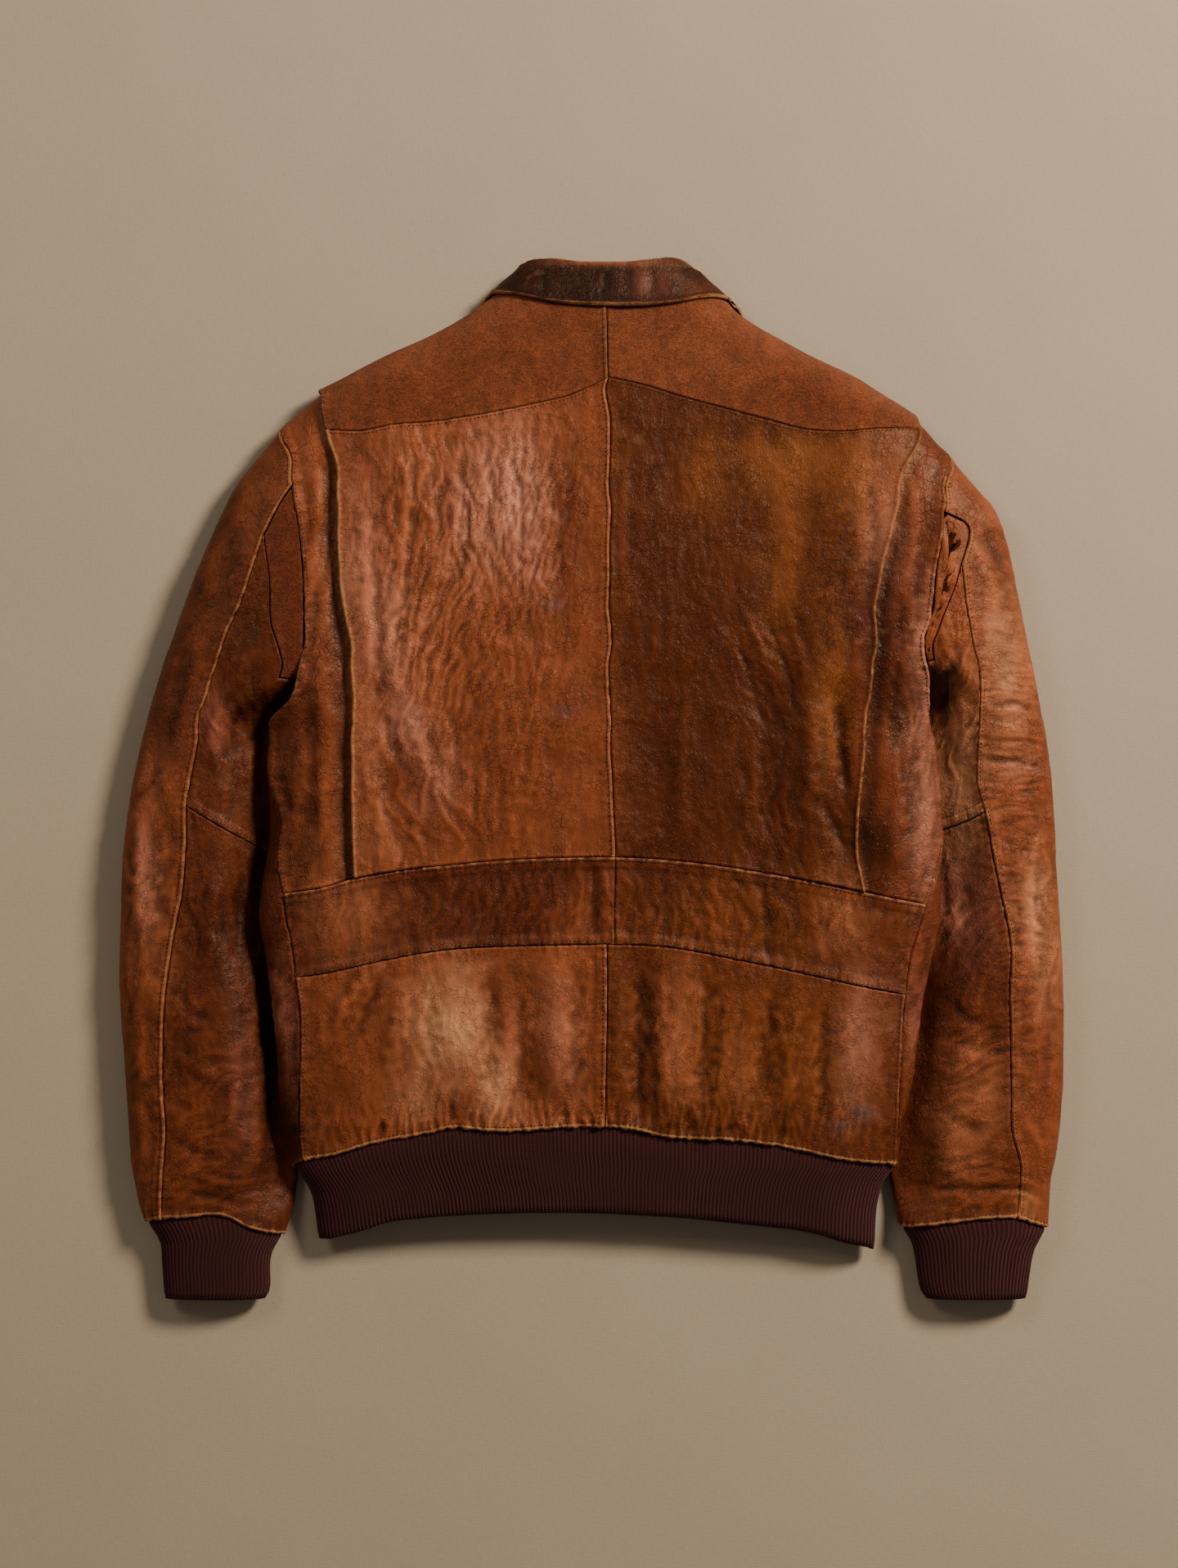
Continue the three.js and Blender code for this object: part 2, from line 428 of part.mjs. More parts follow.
/** The back, belt, yoke, side and front pieces of one side. Returns the edges that others share. */
function addBodySide(name) {
  const side = SIDES[name];
  const beltTopAt = through(BELT_TOP);
  const beltBottomAt = through(BELT_BOTTOM);
  const hemAt = through(HEM);
  const yokeAt = through(side.yokeSeam);
  const pleatAt = through(side.pleat);
  const sideAt = through(side.sideSeam);
  const lift = pleatLift(side);
  const fold = side.sign < 0 ? 0 : 1;

  // Where the seams that run up meet those that run across.
  const meet = (xAt, yAt, start) => {
    let y = start;
    for (let pass = 0; pass < 8; pass += 1) y = yAt(xAt(y));
    return [xAt(y), y];
  };
  const pleatFoot = meet(pleatAt, beltTopAt, -75);
  const pleatHead = meet(pleatAt, yokeAt, 261);
  const sideBeltTop = meet(sideAt, beltTopAt, -85);
  const sideBeltBottom = meet(sideAt, beltBottomAt, -148);
  const sideHem = meet(sideAt, hemAt, -284);
  const centreFoot = meet(through(CENTRE_BACK), beltTopAt, -57);
  const centreHead = meet(through(CENTRE_BACK), yokeAt, 299);

  // Back panel, from the pleat's edge to the centre seam.
  const backBottom = acrossSeam(BELT_TOP, pleatFoot[0], centreFoot[0], ACROSS_BACK);
  const backTop = acrossSeam(side.yokeSeam, pleatHead[0], centreHead[0], ACROSS_BACK);
  const backEdges = {
    bottom: onBody(backBottom),
    top: onBody(backTop),
    left: onBody(upSeam(side.pleat, between(pleatFoot[1], pleatHead[1], ROWS_BACK))),
    right: onBody(upSeam(CENTRE_BACK, between(centreFoot[1], centreHead[1], ROWS_BACK))),
  };
  const backGrid = fillBetween(backEdges);
  addPanel(`back_${name}`, 'hide', bodySurface, backGrid, { lift });

  // Yoke, from the shoulder to the neck seam.
  const [, , yokeStart, ...shoulderOn] = side.shoulderRows;
  const shoulder = [yokeStart, ...shoulderOn].map((y) => [fold, y]);
  const neck = onBody([...side.neckSeam, [through(CENTRE_YOKE)(365), 365]]);
  addPanel(`yoke_${name}`, 'suede', bodySurface, fillBetween({
    bottom: onBody(backTop),
    top: [...shoulder, ...neck],
    left: onBody(upSeam(side.pleat, between(pleatHead[1], yokeStart, 6))).map(([turn, y], j) => (
      j === 6 ? [fold, yokeStart] : [turn, y])),
    right: onBody(upSeam(CENTRE_YOKE, between(centreHead[1], 365, 6))).map(([turn, y], j) => (
      j === 0 ? onBody([centreHead])[0] : [turn, y])),
  }), { lift });

  // Side panel: from the side seam and armhole to a strip under the pleat and the yoke's end.
  const sideOuter = [
    ...onBody([sideBeltTop]),
    ...side.sideRows.map((y) => [bodyTurn([sideAt(y), y]), y]),
    ...onBody(upSeam(side.armhole, side.armholeRows)).map(([turn, y], j) => (
      j === 0 || j === side.armholeRows.length - 1 ? [fold, y] : [turn, y])),
  ];
  const sideFold = side.shoulderRows.slice(0, 4).map((y) => [fold, y]);
  const halfWay = (a, b) => [(a[0] + b[0]) / 2, (a[1] + b[1]) / 2];
  const sideGrid = backGrid.map((row, j) => [sideOuter[j], halfWay(sideOuter[j], row[0]), row[0], row[1]]);
  addPanel(`side_back_${name}`, 'hide', bodySurface, [...sideGrid, sideFold]);

  // Belt and lower back.
  const beltFoot = acrossSeam(BELT_BOTTOM, sideBeltBottom[0], CENTRE_BELT[0][1], ACROSS_LOWER);
  const beltSide = onBody(upSeam(side.sideSeam, between(sideBeltBottom[1], sideBeltTop[1], ROWS_BELT)));
  addPanel(`belt_${name}`, 'hide', bodySurface, fillBetween({
    bottom: onBody(beltFoot),
    top: onBody(joined(acrossSeam(BELT_TOP, sideBeltTop[0], pleatFoot[0], ACROSS_SIDE), backBottom)),
    left: beltSide,
    right: onBody(between(0, 1, ROWS_BELT).map((t) => [
      beltFoot.at(-1)[0] + (centreFoot[0] - beltFoot.at(-1)[0]) * t,
      beltFoot.at(-1)[1] + (centreFoot[1] - beltFoot.at(-1)[1]) * t])),
  }));
  const lowerTop = acrossSeam(BELT_BOTTOM, sideBeltBottom[0], CENTRE_LOWER.at(-1)[1], ACROSS_LOWER);
  const lowerFoot = onBody(acrossSeam(HEM, sideHem[0], CENTRE_LOWER[0][1], ACROSS_LOWER));
  const lowerSide = onBody(upSeam(side.sideSeam, between(sideHem[1], sideBeltBottom[1], ROWS_LOWER)));
  addPanel(`lower_back_${name}`, 'hide', bodySurface, fillBetween({
    bottom: lowerFoot,
    top: onBody(lowerTop),
    left: lowerSide,
    right: onBody(upSeam(CENTRE_LOWER, between(hemAt(CENTRE_LOWER[0][1]), lowerTop.at(-1)[1], ROWS_LOWER))),
  }));

  // Front: from the side seam, the armhole and the shoulder round the fold and underneath to the lap.
  const underPlace = (point) => [side.sign < 0 ? -bodyTurn(point) : 2 - bodyTurn(point), point[1]];
  const lapEdge = CENTRE_FRONT - LAP_HALF * side.sign;
  const armholeUnder = upSeam(side.armhole, side.armholeRows).slice(1, -1).map(underPlace);
  const shoulderFold = side.shoulderRows.map((y) => [fold, y]);
  const frontSide = [
    ...joined(lowerSide, beltSide), ...sideOuter.slice(1, 4), [fold, side.armholeRows[0]],
    ...armholeUnder, ...shoulderFold,
  ];
  const neckUnder = side.frontNeck.map(underPlace);
  const neckFront = [[CENTRE_FRONT + 2 * side.sign, NECK_FRONT], [lapEdge, NECK_FRONT]].map(underPlace);
  const frontTop = [shoulderFold.at(-1), ...neckUnder, ...neckFront];
  const hemCentre = underPlace([lapEdge, frontHem(CENTRE_FRONT)]);
  const hemUnder = FRONT_SHARES.map((share) => frontHemPlace(fold + (hemCentre[0] - fold) * share));
  const frontBottom = [lowerFoot[0], ...hemUnder, hemCentre];
  const frontRows = frontSide.length - 1;
  const lapSide = between(hemCentre[1], NECK_FRONT, frontRows).map((y) => underPlace([lapEdge, y]));
  const lapLift = (point) => -LAP_LIFT * (1 - smoothRise(point.x, 72, 60));
  addPanel(`front_${name}`, 'palerHide', bodySurface, fillBetween({
    bottom: frontBottom,
    top: frontTop,
    left: frontSide,
    right: lapSide,
  }), { lift: (point) => (side.sign > 0 && point.z < 12 ? lapLift(point) : 0) });
  const neckRow = [shoulderFold.at(-1), ...neck];
  return { lowerFoot, frontBottom, neck: neckRow, neckFront: [...neckUnder, neckFront[0]] };
}

const bodySides = { left: addBodySide('left'), right: addBodySide('right') };

// ---------------------------------------------------------------- waistband
/** The knit band, from one end at the centre front round the back to the other. */
function addWaistband() {
  const bandAt = through(BAND_BOTTOM);
  const { left, right } = bodySides;
  const centre = bodyTurn([CENTRE_FRONT, frontHem(CENTRE_FRONT)]);
  const centreTurn = (name) => (name === 'left' ? -centre : 2 - centre);
  const top = [
    ...joined([[centreTurn('left'), frontHem(CENTRE_FRONT)], ...reversed(left.frontBottom).slice(1)], left.lowerFoot),
    ...reversed(right.lowerFoot), ...right.frontBottom.slice(1, -1),
    [centreTurn('right'), frontHem(CENTRE_FRONT)],
  ];
  const bottom = top.map(([turn]) => {
    let y = -340;
    for (let pass = 0; pass < 8; pass += 1) y = bandAt(bodyPoint(turn, y).x) + (isUnder(turn) ? 2 : 0);
    return [turn, y];
  });
  const edge = (index) => between(0, 1, 2).map((t) => [0, 1].map((k) => (
    bottom.at(index)[k] + (top.at(index)[k] - bottom.at(index)[k]) * t)));
  const places = fillBetween({ bottom, top, left: edge(0), right: edge(-1) });
  addPanel('waistband', 'knit', bodySurface, places, { wall: KNIT, inset: WIDE_INSET });
}
addWaistband();

// ---------------------------------------------------------------- collar
/** The leaf that falls over the yoke and the fronts, and the stand inside it. */
function addCollar() {
  const underLeft = (point) => [-bodyTurn(point), point[1]];
  const underRight = (point) => [2 - bodyTurn(point), point[1]];
  const [leftEdge, leftFold] = LEAF_END_ROWS.left;
  const [rightEdge, rightFold] = LEAF_END_ROWS.right;
  const leafEdge = [
    ...SIDES.left.collarEdge.map(underLeft), [0, leftEdge],
    ...onBody(LEAF_EDGE), [1, rightEdge],
    ...reversed(SIDES.right.collarEdge).map(underRight),
  ];
  const leafFold = [
    ...LEAF_FOLD_LEFT.map(underLeft), [0, leftFold],
    ...onBody(LEAF_FOLD_BACK), [1, rightFold],
    ...reversed(LEAF_FOLD_RIGHT).map(underRight),
  ];
  const edge = (lower, upper) => between(0, 1, 3).map((t) => (
    [0, 1].map((k) => lower[k] + (upper[k] - lower[k]) * t)));
  addPanel('collar_leaf', 'darkHide', bodySurface, fillBetween({
    bottom: leafEdge,
    top: leafFold,
    left: edge(leafEdge[0], leafFold[0]),
    right: edge(leafEdge.at(-1), leafFold.at(-1)),
  }), { lift: () => COLLAR_LIFT });

  const { left, right } = bodySides;
  const neck = [...left.neck, ...reversed(right.neck).slice(1)];
  const seam = [...reversed(left.neckFront), ...neck, ...right.neckFront];
  const turnAt = through(seam.map(([turn], i) => [i / (seam.length - 1), turn]));
  const foldAt = through(leafFold.map(([turn, y]) => [turn, y]));
  const standTop = seam.map((place, i) => [turnAt(i / (seam.length - 1)), foldAt(place[0]) - 0.5]);
  addPanel('collar_stand', 'darkHide', bodySurface, fillBetween({
    bottom: seam,
    top: standTop,
    left: edge(seam[0], standTop[0]),
    right: edge(seam.at(-1), standTop.at(-1)),
  }), { inset: WIDE_INSET });
}
addCollar();

// ---------------------------------------------------------------- sleeves
const ROWS_UPPER_SLEEVE = 8;
const ROWS_LOWER_SLEEVE = 9;
const ACROSS_UNDER_SLEEVE = 7;
const OUTER_SHARES = [0, 0.08, 0.19, 0.32, 0.56, 1];  // of the cuff seam, round the outer fold

function addSleeve(name) {
  const side = SIDES[name];
  const tube = sleeveTube(side);
  const surface = surfaceOf(tube, -side.sign);
  const outerEdge = through(side.sleeveOuter);
  const innerEdge = through(side.sleeveInner);
  const turnAt = ([x, y]) => {
    const share = (x - outerEdge(y)) / (innerEdge(y) - outerEdge(y));
    return Math.acos(THREE.MathUtils.clamp(1 - 2 * share, -1, 1)) / Math.PI;
  };
  const onTop = (points) => points.map((point) => [turnAt(point), point[1]]);
  const byOuterFold = (points) => points.map((point) => [-turnAt(point), point[1]]);
  const byInnerFold = (points) => points.map((point) => [2 - turnAt(point), point[1]]);
  const armhole = upSeam(side.armhole, side.armholeRows);
  const underarm = armhole[0];
  const frontSeam = (rows) => rows.map((y) => [innerEdge(y) + side.sign * SEAM_ROOM, y]);

  // Rows of places along the two long seams, from the cuff up to the elbow and to the armhole.
  const cuffAt = through(side.cuffSeam);
  const elbowAt = side.elbowSeam[0][1];
  const sleeveAt = through(side.sleeveSeam);
  let cuffRow = cuffAt(side.cuffSeam[0][0]);
  for (let pass = 0; pass < 8; pass += 1) cuffRow = cuffAt(sleeveAt(cuffRow));
  const seamTop = side.gussetLower.at(-1);
  const lowerRear = upSeam(side.sleeveSeam, between(cuffRow, elbowAt, ROWS_LOWER_SLEEVE));
  const upperRear = upSeam(side.sleeveSeam, between(elbowAt, seamTop[1], ROWS_UPPER_SLEEVE));
  const elbowUnder = side.elbowSeam.at(-1)[1] - 5;
  const lowerFront = frontSeam(between(-337, elbowUnder, ROWS_LOWER_SLEEVE));
  const upperFront = frontSeam(between(elbowUnder, underarm[1] + 1, ROWS_UPPER_SLEEVE));

  // Outer panel: from the rear seam round the outer fold and underneath to the front seam.
  const apex = [0, side.armholeRows.at(-1)];
  const underArmhole = byOuterFold(armhole);
  const outerTop = [apex, ...reversed(underArmhole.slice(4, 9))];
  const rearTurn = turnAt(lowerRear[0]);
  const cuffTurns = OUTER_SHARES.map((share) => rearTurn - share * (rearTurn + turnAt(lowerFront[0])));
  const cuffPlace = (turn) => {
    let y = -330;
    for (let pass = 0; pass < 8; pass += 1) y = cuffAt(tube(turn, y).x);
    return [turn, y];
  };
  const outerFoot = cuffTurns.map(cuffPlace);
  const frontPlaces = joined(byOuterFold(lowerFront), byOuterFold(upperFront));
  frontPlaces[0] = outerFoot.at(-1);
  const rearPlaces = joined(onTop(lowerRear), onTop(upperRear));
  rearPlaces[0] = outerFoot[0];
  addPanel(`sleeve_outer_${name}`, 'hide', surface, fillBetween({
    bottom: outerFoot,
    top: outerTop,
    left: [...rearPlaces, ...onTop([side.gussetMid, armhole[7], armhole[8]]), apex],
    right: [...frontPlaces, ...underArmhole.slice(1, 5)],
  }));

  // Under sleeve in two pieces, from the rear seam round the inner fold to the front seam.
  const frontInner = frontPlaces.map(([turn, y]) => [2 + turn, y]);
  const elbow = fillRow([
    rearPlaces[ROWS_LOWER_SLEEVE], ...onTop(side.elbowSeam.slice(1)),
    [1, elbowUnder], frontInner[ROWS_LOWER_SLEEVE],
  ], ACROSS_UNDER_SLEEVE);
  const footTurns = between(outerFoot[0][0], frontInner[0][0], ACROSS_UNDER_SLEEVE);
  const lowerFoot = [outerFoot[0], ...footTurns.slice(1, -1).map(cuffPlace), frontInner[0]];
  addPanel(`sleeve_under_lower_${name}`, 'darkHide', surface, fillBetween({
    bottom: lowerFoot,
    top: elbow,
    left: rearPlaces.slice(0, ROWS_LOWER_SLEEVE + 1),
    right: frontInner.slice(0, ROWS_LOWER_SLEEVE + 1),
  }));
  const justAboveUnderarm = [turnAt(underarm), underarm[1] + 1];
  const underTop = [
    ...onTop([...reversed(side.gussetLower), armhole[2], armhole[1]]), justAboveUnderarm, frontInner.at(-1),
  ];
  addPanel(`sleeve_under_upper_${name}`, 'hide', surface, fillBetween({
    bottom: elbow,
    top: underTop,
    left: rearPlaces.slice(ROWS_LOWER_SLEEVE),
    right: frontInner.slice(ROWS_LOWER_SLEEVE),
  }));

  // Gusset: a leaf shape between the armhole seam and the sleeve.
  const gussetOuter = [...side.gussetLower, side.gussetMid];
  const tip = armhole[7];
  const nearTip = (from) => [tip[0] + (from[0] - tip[0]) * 0.14, tip[1] + (from[1] - tip[1]) * 0.14];
  addPanel(`gusset_${name}`, name === 'left' ? 'suede' : 'hide', surface, fillBetween({
    bottom: onTop([gussetOuter[0], armhole[2]]),
    top: onTop([nearTip(side.gussetMid), nearTip(armhole[6])]),
    left: onTop([...gussetOuter, nearTip(side.gussetMid)]),
    right: onTop([...armhole.slice(2, 7), nearTip(armhole[6])]),
  }), { inset: WIDE_INSET });

  // Knit cuff: a tube whose places run once round from the front seam.
  const cuffTop = joined(reversed(outerFoot), lowerFoot);
  const down = (place) => between(0, 1, 3).map((t) => [place[0], CUFF_END + (place[1] - CUFF_END) * t]);
  addPanel(`cuff_${name}`, 'knit', surface, fillBetween({
    bottom: cuffTop.map(([turn]) => [turn, CUFF_END]),
    top: cuffTop,
    left: down(cuffTop[0]),
    right: down(cuffTop.at(-1)),
  }), { wall: KNIT, closed: true });
}

/** The same row of places with another number of steps. */
function fillRow(row, count) {
  return between(0, row.length - 1, count).map((place) => {
    const i = Math.min(Math.floor(place), row.length - 2);
    return [0, 1].map((k) => row[i][k] + (row[i + 1][k] - row[i][k]) * (place - i));
  });
}

addSleeve('left');
addSleeve('right');
jacket.position.set(-OUTLINE_CENTRE[0], -OUTLINE_CENTRE[1], 0);

export default jacket;
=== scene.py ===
"""A worn leather flight jacket laid face down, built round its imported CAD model.

Every piece is a sheet of leather, suede or knit on the form of its CAD node. Outlines are in
millimetres on the cutting table, and placed() moves them to the frame's own metres.
"""

import math

import bpy
import numpy as np
from bpy.props import FloatProperty, FloatVectorProperty, IntProperty, PointerProperty
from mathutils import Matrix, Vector


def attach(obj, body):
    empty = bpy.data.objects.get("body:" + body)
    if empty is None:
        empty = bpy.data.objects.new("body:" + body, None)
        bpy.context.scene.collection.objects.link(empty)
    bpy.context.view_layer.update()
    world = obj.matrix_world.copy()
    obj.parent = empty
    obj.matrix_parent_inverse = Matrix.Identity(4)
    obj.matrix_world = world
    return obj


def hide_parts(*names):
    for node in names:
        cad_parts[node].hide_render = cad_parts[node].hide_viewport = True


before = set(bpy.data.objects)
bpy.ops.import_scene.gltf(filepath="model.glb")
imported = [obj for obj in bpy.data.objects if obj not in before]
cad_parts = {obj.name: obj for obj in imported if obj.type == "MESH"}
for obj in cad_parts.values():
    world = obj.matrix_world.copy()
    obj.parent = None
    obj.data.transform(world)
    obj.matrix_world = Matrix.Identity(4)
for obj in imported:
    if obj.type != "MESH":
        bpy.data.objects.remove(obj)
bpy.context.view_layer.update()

bl_info = {
    "name": "Leather Flight Jacket",
    "version": (1, 0, 0),
    "blender": (4, 5, 0),
    "location": "View3D > Sidebar > Jacket",
    "description": "Builds a worn leather flight jacket laid face down, piece by piece",
    "category": "Add Mesh",
}

# ---------------------------------------------------------------- driving sizes, millimetres
LEATHER = 2.0         # wall of a leather piece
KNIT = 2.6            # wall of the waistband and cuffs
SEAM_INSET = 0.2      # each piece's edge from the middle of its seam
WIDE_INSET = 0.9      # the same where the neighbour bends sharply
PLEAT_LIFT = 3.2      # a pleat's free edge above the panel that it folds over
PLEAT_REACH = (34, 50)    # that lift fades from so far inside the pleat, over so much
COLLAR_LIFT = 3.4     # the collar leaf outside the yoke, the fronts and the stand
COLLAR_GAP = 0.2      # between the leaf and the fronts
COLLAR_ROOM_ENDS = (112, 30)    # its room ends so far from the middle, over so much
COLLAR_ROOM_FOOT = (190, 36)    # and it starts at this y, over so much
LAP_LIFT = 3.4        # the right front inside the left front where they lap
LAP_HALF = 14         # half of the fronts' overlap
LAP_REACH = (72, 60)  # the right front is back in its place from this x on, over so much
LAP_BELOW = 12        # only what is lower than this belongs to the fronts' laps
CENTRE_FRONT = 10     # x of the middle of that overlap
SEAM_ROOM = 12        # from a sleeve's inner fold to its front seam, underneath
HEM_DIP = 22          # the front hem is this much lower at the sides than in the middle
TUBE_REST = 4.5       # radius of the sleeve's inner fold
OPEN_WIDTH = 20       # how much wider its underside is rounded where the body doesn't cover it
TUCKED_RISE = (2, 48) # and where it does, the sleeve rises from 2 inside that fold, over 48
PLEAT_DIP = 2.2       # depth of the trough that a pleat folds into

# ---------------------------------------------------------------- outlines, millimetres
# Heights above the floor, as [y, z]: the crown of the body, its side folds, and how far in
# from a fold the section is still round, as [y, width].
BODY_CROWN = [[-352, 22], [-290, 34], [-250, 40], [-100, 44], [110, 44], [250, 38], [320, 33],
    [360, 29], [390, 21]]
BODY_FOLD = [[-352, 10], [-290, 18], [-250, 22], [-200, 24], [60, 25], [85, 20], [120, 14],
    [250, 12], [390, 11]]
BODY_ROUND = [[-352, 40], [-250, 60], [110, 60], [260, 60], [340, 52], [390, 34]]
SLEEVE_CROWN = [[-388, 22], [-335, 28], [-200, 34], [0, 36], [60, 40], [110, 44], [250, 38]]
SLEEVE_OUTER_FOLD = [[-388, 10], [-300, 13], [110, 14], [250, 12]]
SLEEVE_INNER_FOLD = [[-388, 10], [-340, 9], [-300, 6], [40, 6], [68, 5], [90, 12], [110, 20]]
SLEEVE_ROUND = [[-388, 34], [-320, 44], [60, 48], [110, 60]]
# 1 where the body lies on the sleeve and 0 where it doesn't.
COVERED = [[-330, 0], [-300, 1], [60, 1], [85, 0]]

# The largest folds: from, to, half width, and height above (or depth below) the smooth shape.
LARGE_FOLDS = [
    ((-55, -150), (-52, -235), 15, -3.0),
    ((-100, -150), (-98, -225), 18, 2.2),
    ((-30, -150), (-28, -220), 13, 2.4),
    ((36, -140), (33, -245), 16, -3.0),
    ((68, -145), (66, -240), 14, 2.2),
    ((120, -150), (103, -235), 15, 2.4),
    ((-165, -145), (-192, -195), 15, 2.4),
    ((-160, 60), (-138, -40), 16, -2.6),
    ((-135, 240), (-150, 60), 18, 1.8),
    ((52, 70), (50, -50), 18, -2.4),
    ((130, 60), (132, -55), 18, -2.4),
    ((182, 60), (187, -55), 13, -2.8),
    ((-262, -150), (-256, -280), 14, 3.0),
    ((285, -90), (288, -200), 16, -2.4),
]

# ---------------------------------------------------------------- outline and seams
# Edges that run up the jacket are [y, x] pairs, and edges that run across it are [x, y].
# body_edge is the side fold below the underarm and the silhouette above it, with an easy
# change from one to the other where the sleeve hides it. A sleeve's outer fold ends in the same
# shoulder line.
LEFT_SHOULDER = [[120, -310], [160, -295], [200, -278], [220, -268], [250, -244], [270, -226],
    [290, -202], [300, -183]]
LEFT_SIDE = {
    "sign": -1,
    "body_edge": [[-352, -205], [-330, -207], [-315, -209], [-305, -212], [-296, -218], [-288, -224],
        [-275, -229], [-240, -233], [-200, -236], [-160, -240], [-125, -245], [-100, -249],
        [-80, -247], [-40, -241], [10, -242], [38, -241], [50, -250], [70, -275], [90, -297],
        *LEFT_SHOULDER, [320, -147], [340, -109], [350, -92], [362, -76], [370, -67], [380, -55],
        [386, -48], [390, -40]],
    "sleeve_outer": [[-388, -321], [-360, -323], [-346, -324], [-338, -328.5], [-330, -334.5],
        [-320, -339], [-300, -343], [-280, -346], [-220, -350], [-160, -354], [-80, -353], [-40, -350],
        [0, -344], [40, -335], [80, -324], *LEFT_SHOULDER],
    "sleeve_inner": [[-388, -245], [-380, -242], [-362, -242], [-352, -240], [-346, -236],
        [-340, -231.5], [-330, -228], [-320, -225], [-300, -222], [-270, -221], [-240, -224],
        [-200, -226], [-160, -230], [-125, -235], [-100, -238], [-80, -236], [-40, -231], [0, -231],
        [38, -234], [50, -227], [60, -211], [75, -188], [90, -165], [110, -150], [270, -140]],
    "armhole": [[38, -241], [48, -235], [60, -226], [73, -220], [85, -217], [100, -214], [120, -213.5],
        [140, -214], [160, -215], [180, -217], [200, -220], [222, -223], [240, -225], [268, -227.8]],
    "armhole_rows": [38, 56, 74, 100, 125, 150, 183, 220, 245, 268],
    "side_seam": [[-285, -215], [-260, -218], [-190, -217], [-155, -218], [-143, -221], [-130, -223],
        [-100, -227], [-84, -229], [-60, -234], [-45, -233], [-30, -231], [-22, -233], [-10, -238],
        [2, -241]],
    "side_rows": [-54, -24, 8],
    "pleat": [[-73, -177], [-28, -179], [40, -179], [90, -179], [120, -184], [160, -189], [220, -190],
        [240, -191], [252, -193], [262, -199], [290, -202]],
    "yoke_seam": [[-199, 260], [-175, 259], [-150, 264], [-130, 265.5], [-90, 271], [-60, 276.5],
        [-40, 281], [-20, 286], [0, 292], [12, 300]],
    "neck_seam": [[-50, 370], [-30, 368], [-10, 365.5]],
    "shoulder_rows": [268, 279, 290, 308, 328, 348, 366],
    "front_neck": [[-76, 344], [-63, 324], [-44, 307], [-20, 296]],
    "sleeve_seam": [[-326, -321], [-312, -322], [-288, -320], [-260, -318], [-215, -320.5],
        [-180, -319], [-150, -317], [-130, -314], [-95, -307], [-75, -304], [-60, -302.5], [-30, -303],
        [-10, -301], [20, -295], [55, -289], [72, -283], [90, -278], [105, -273], [120, -265],
        [183, -244]],
    "gusset_lower": [[-233, 76], [-237, 110], [-240, 150], [-244, 183]],
    "gusset_mid": [-234, 203],
    "elbow_seam": [[-302, -18], [-290, -26], [-270, -38], [-250, -50], [-240, -55]],
    "cuff_seam": [[-336, -330], [-315, -326], [-300, -325.5], [-285, -323.5], [-270, -326],
        [-260, -332], [-250, -336], [-231, -340]],
    "collar_edge": [[-42, 240], [-72, 264], [-92, 296], [-95, 328], [-88, 350]],
}
RIGHT_SHOULDER = [[120, 322], [160, 314], [200, 302], [220, 286], [250, 260], [270, 241], [290, 210]]
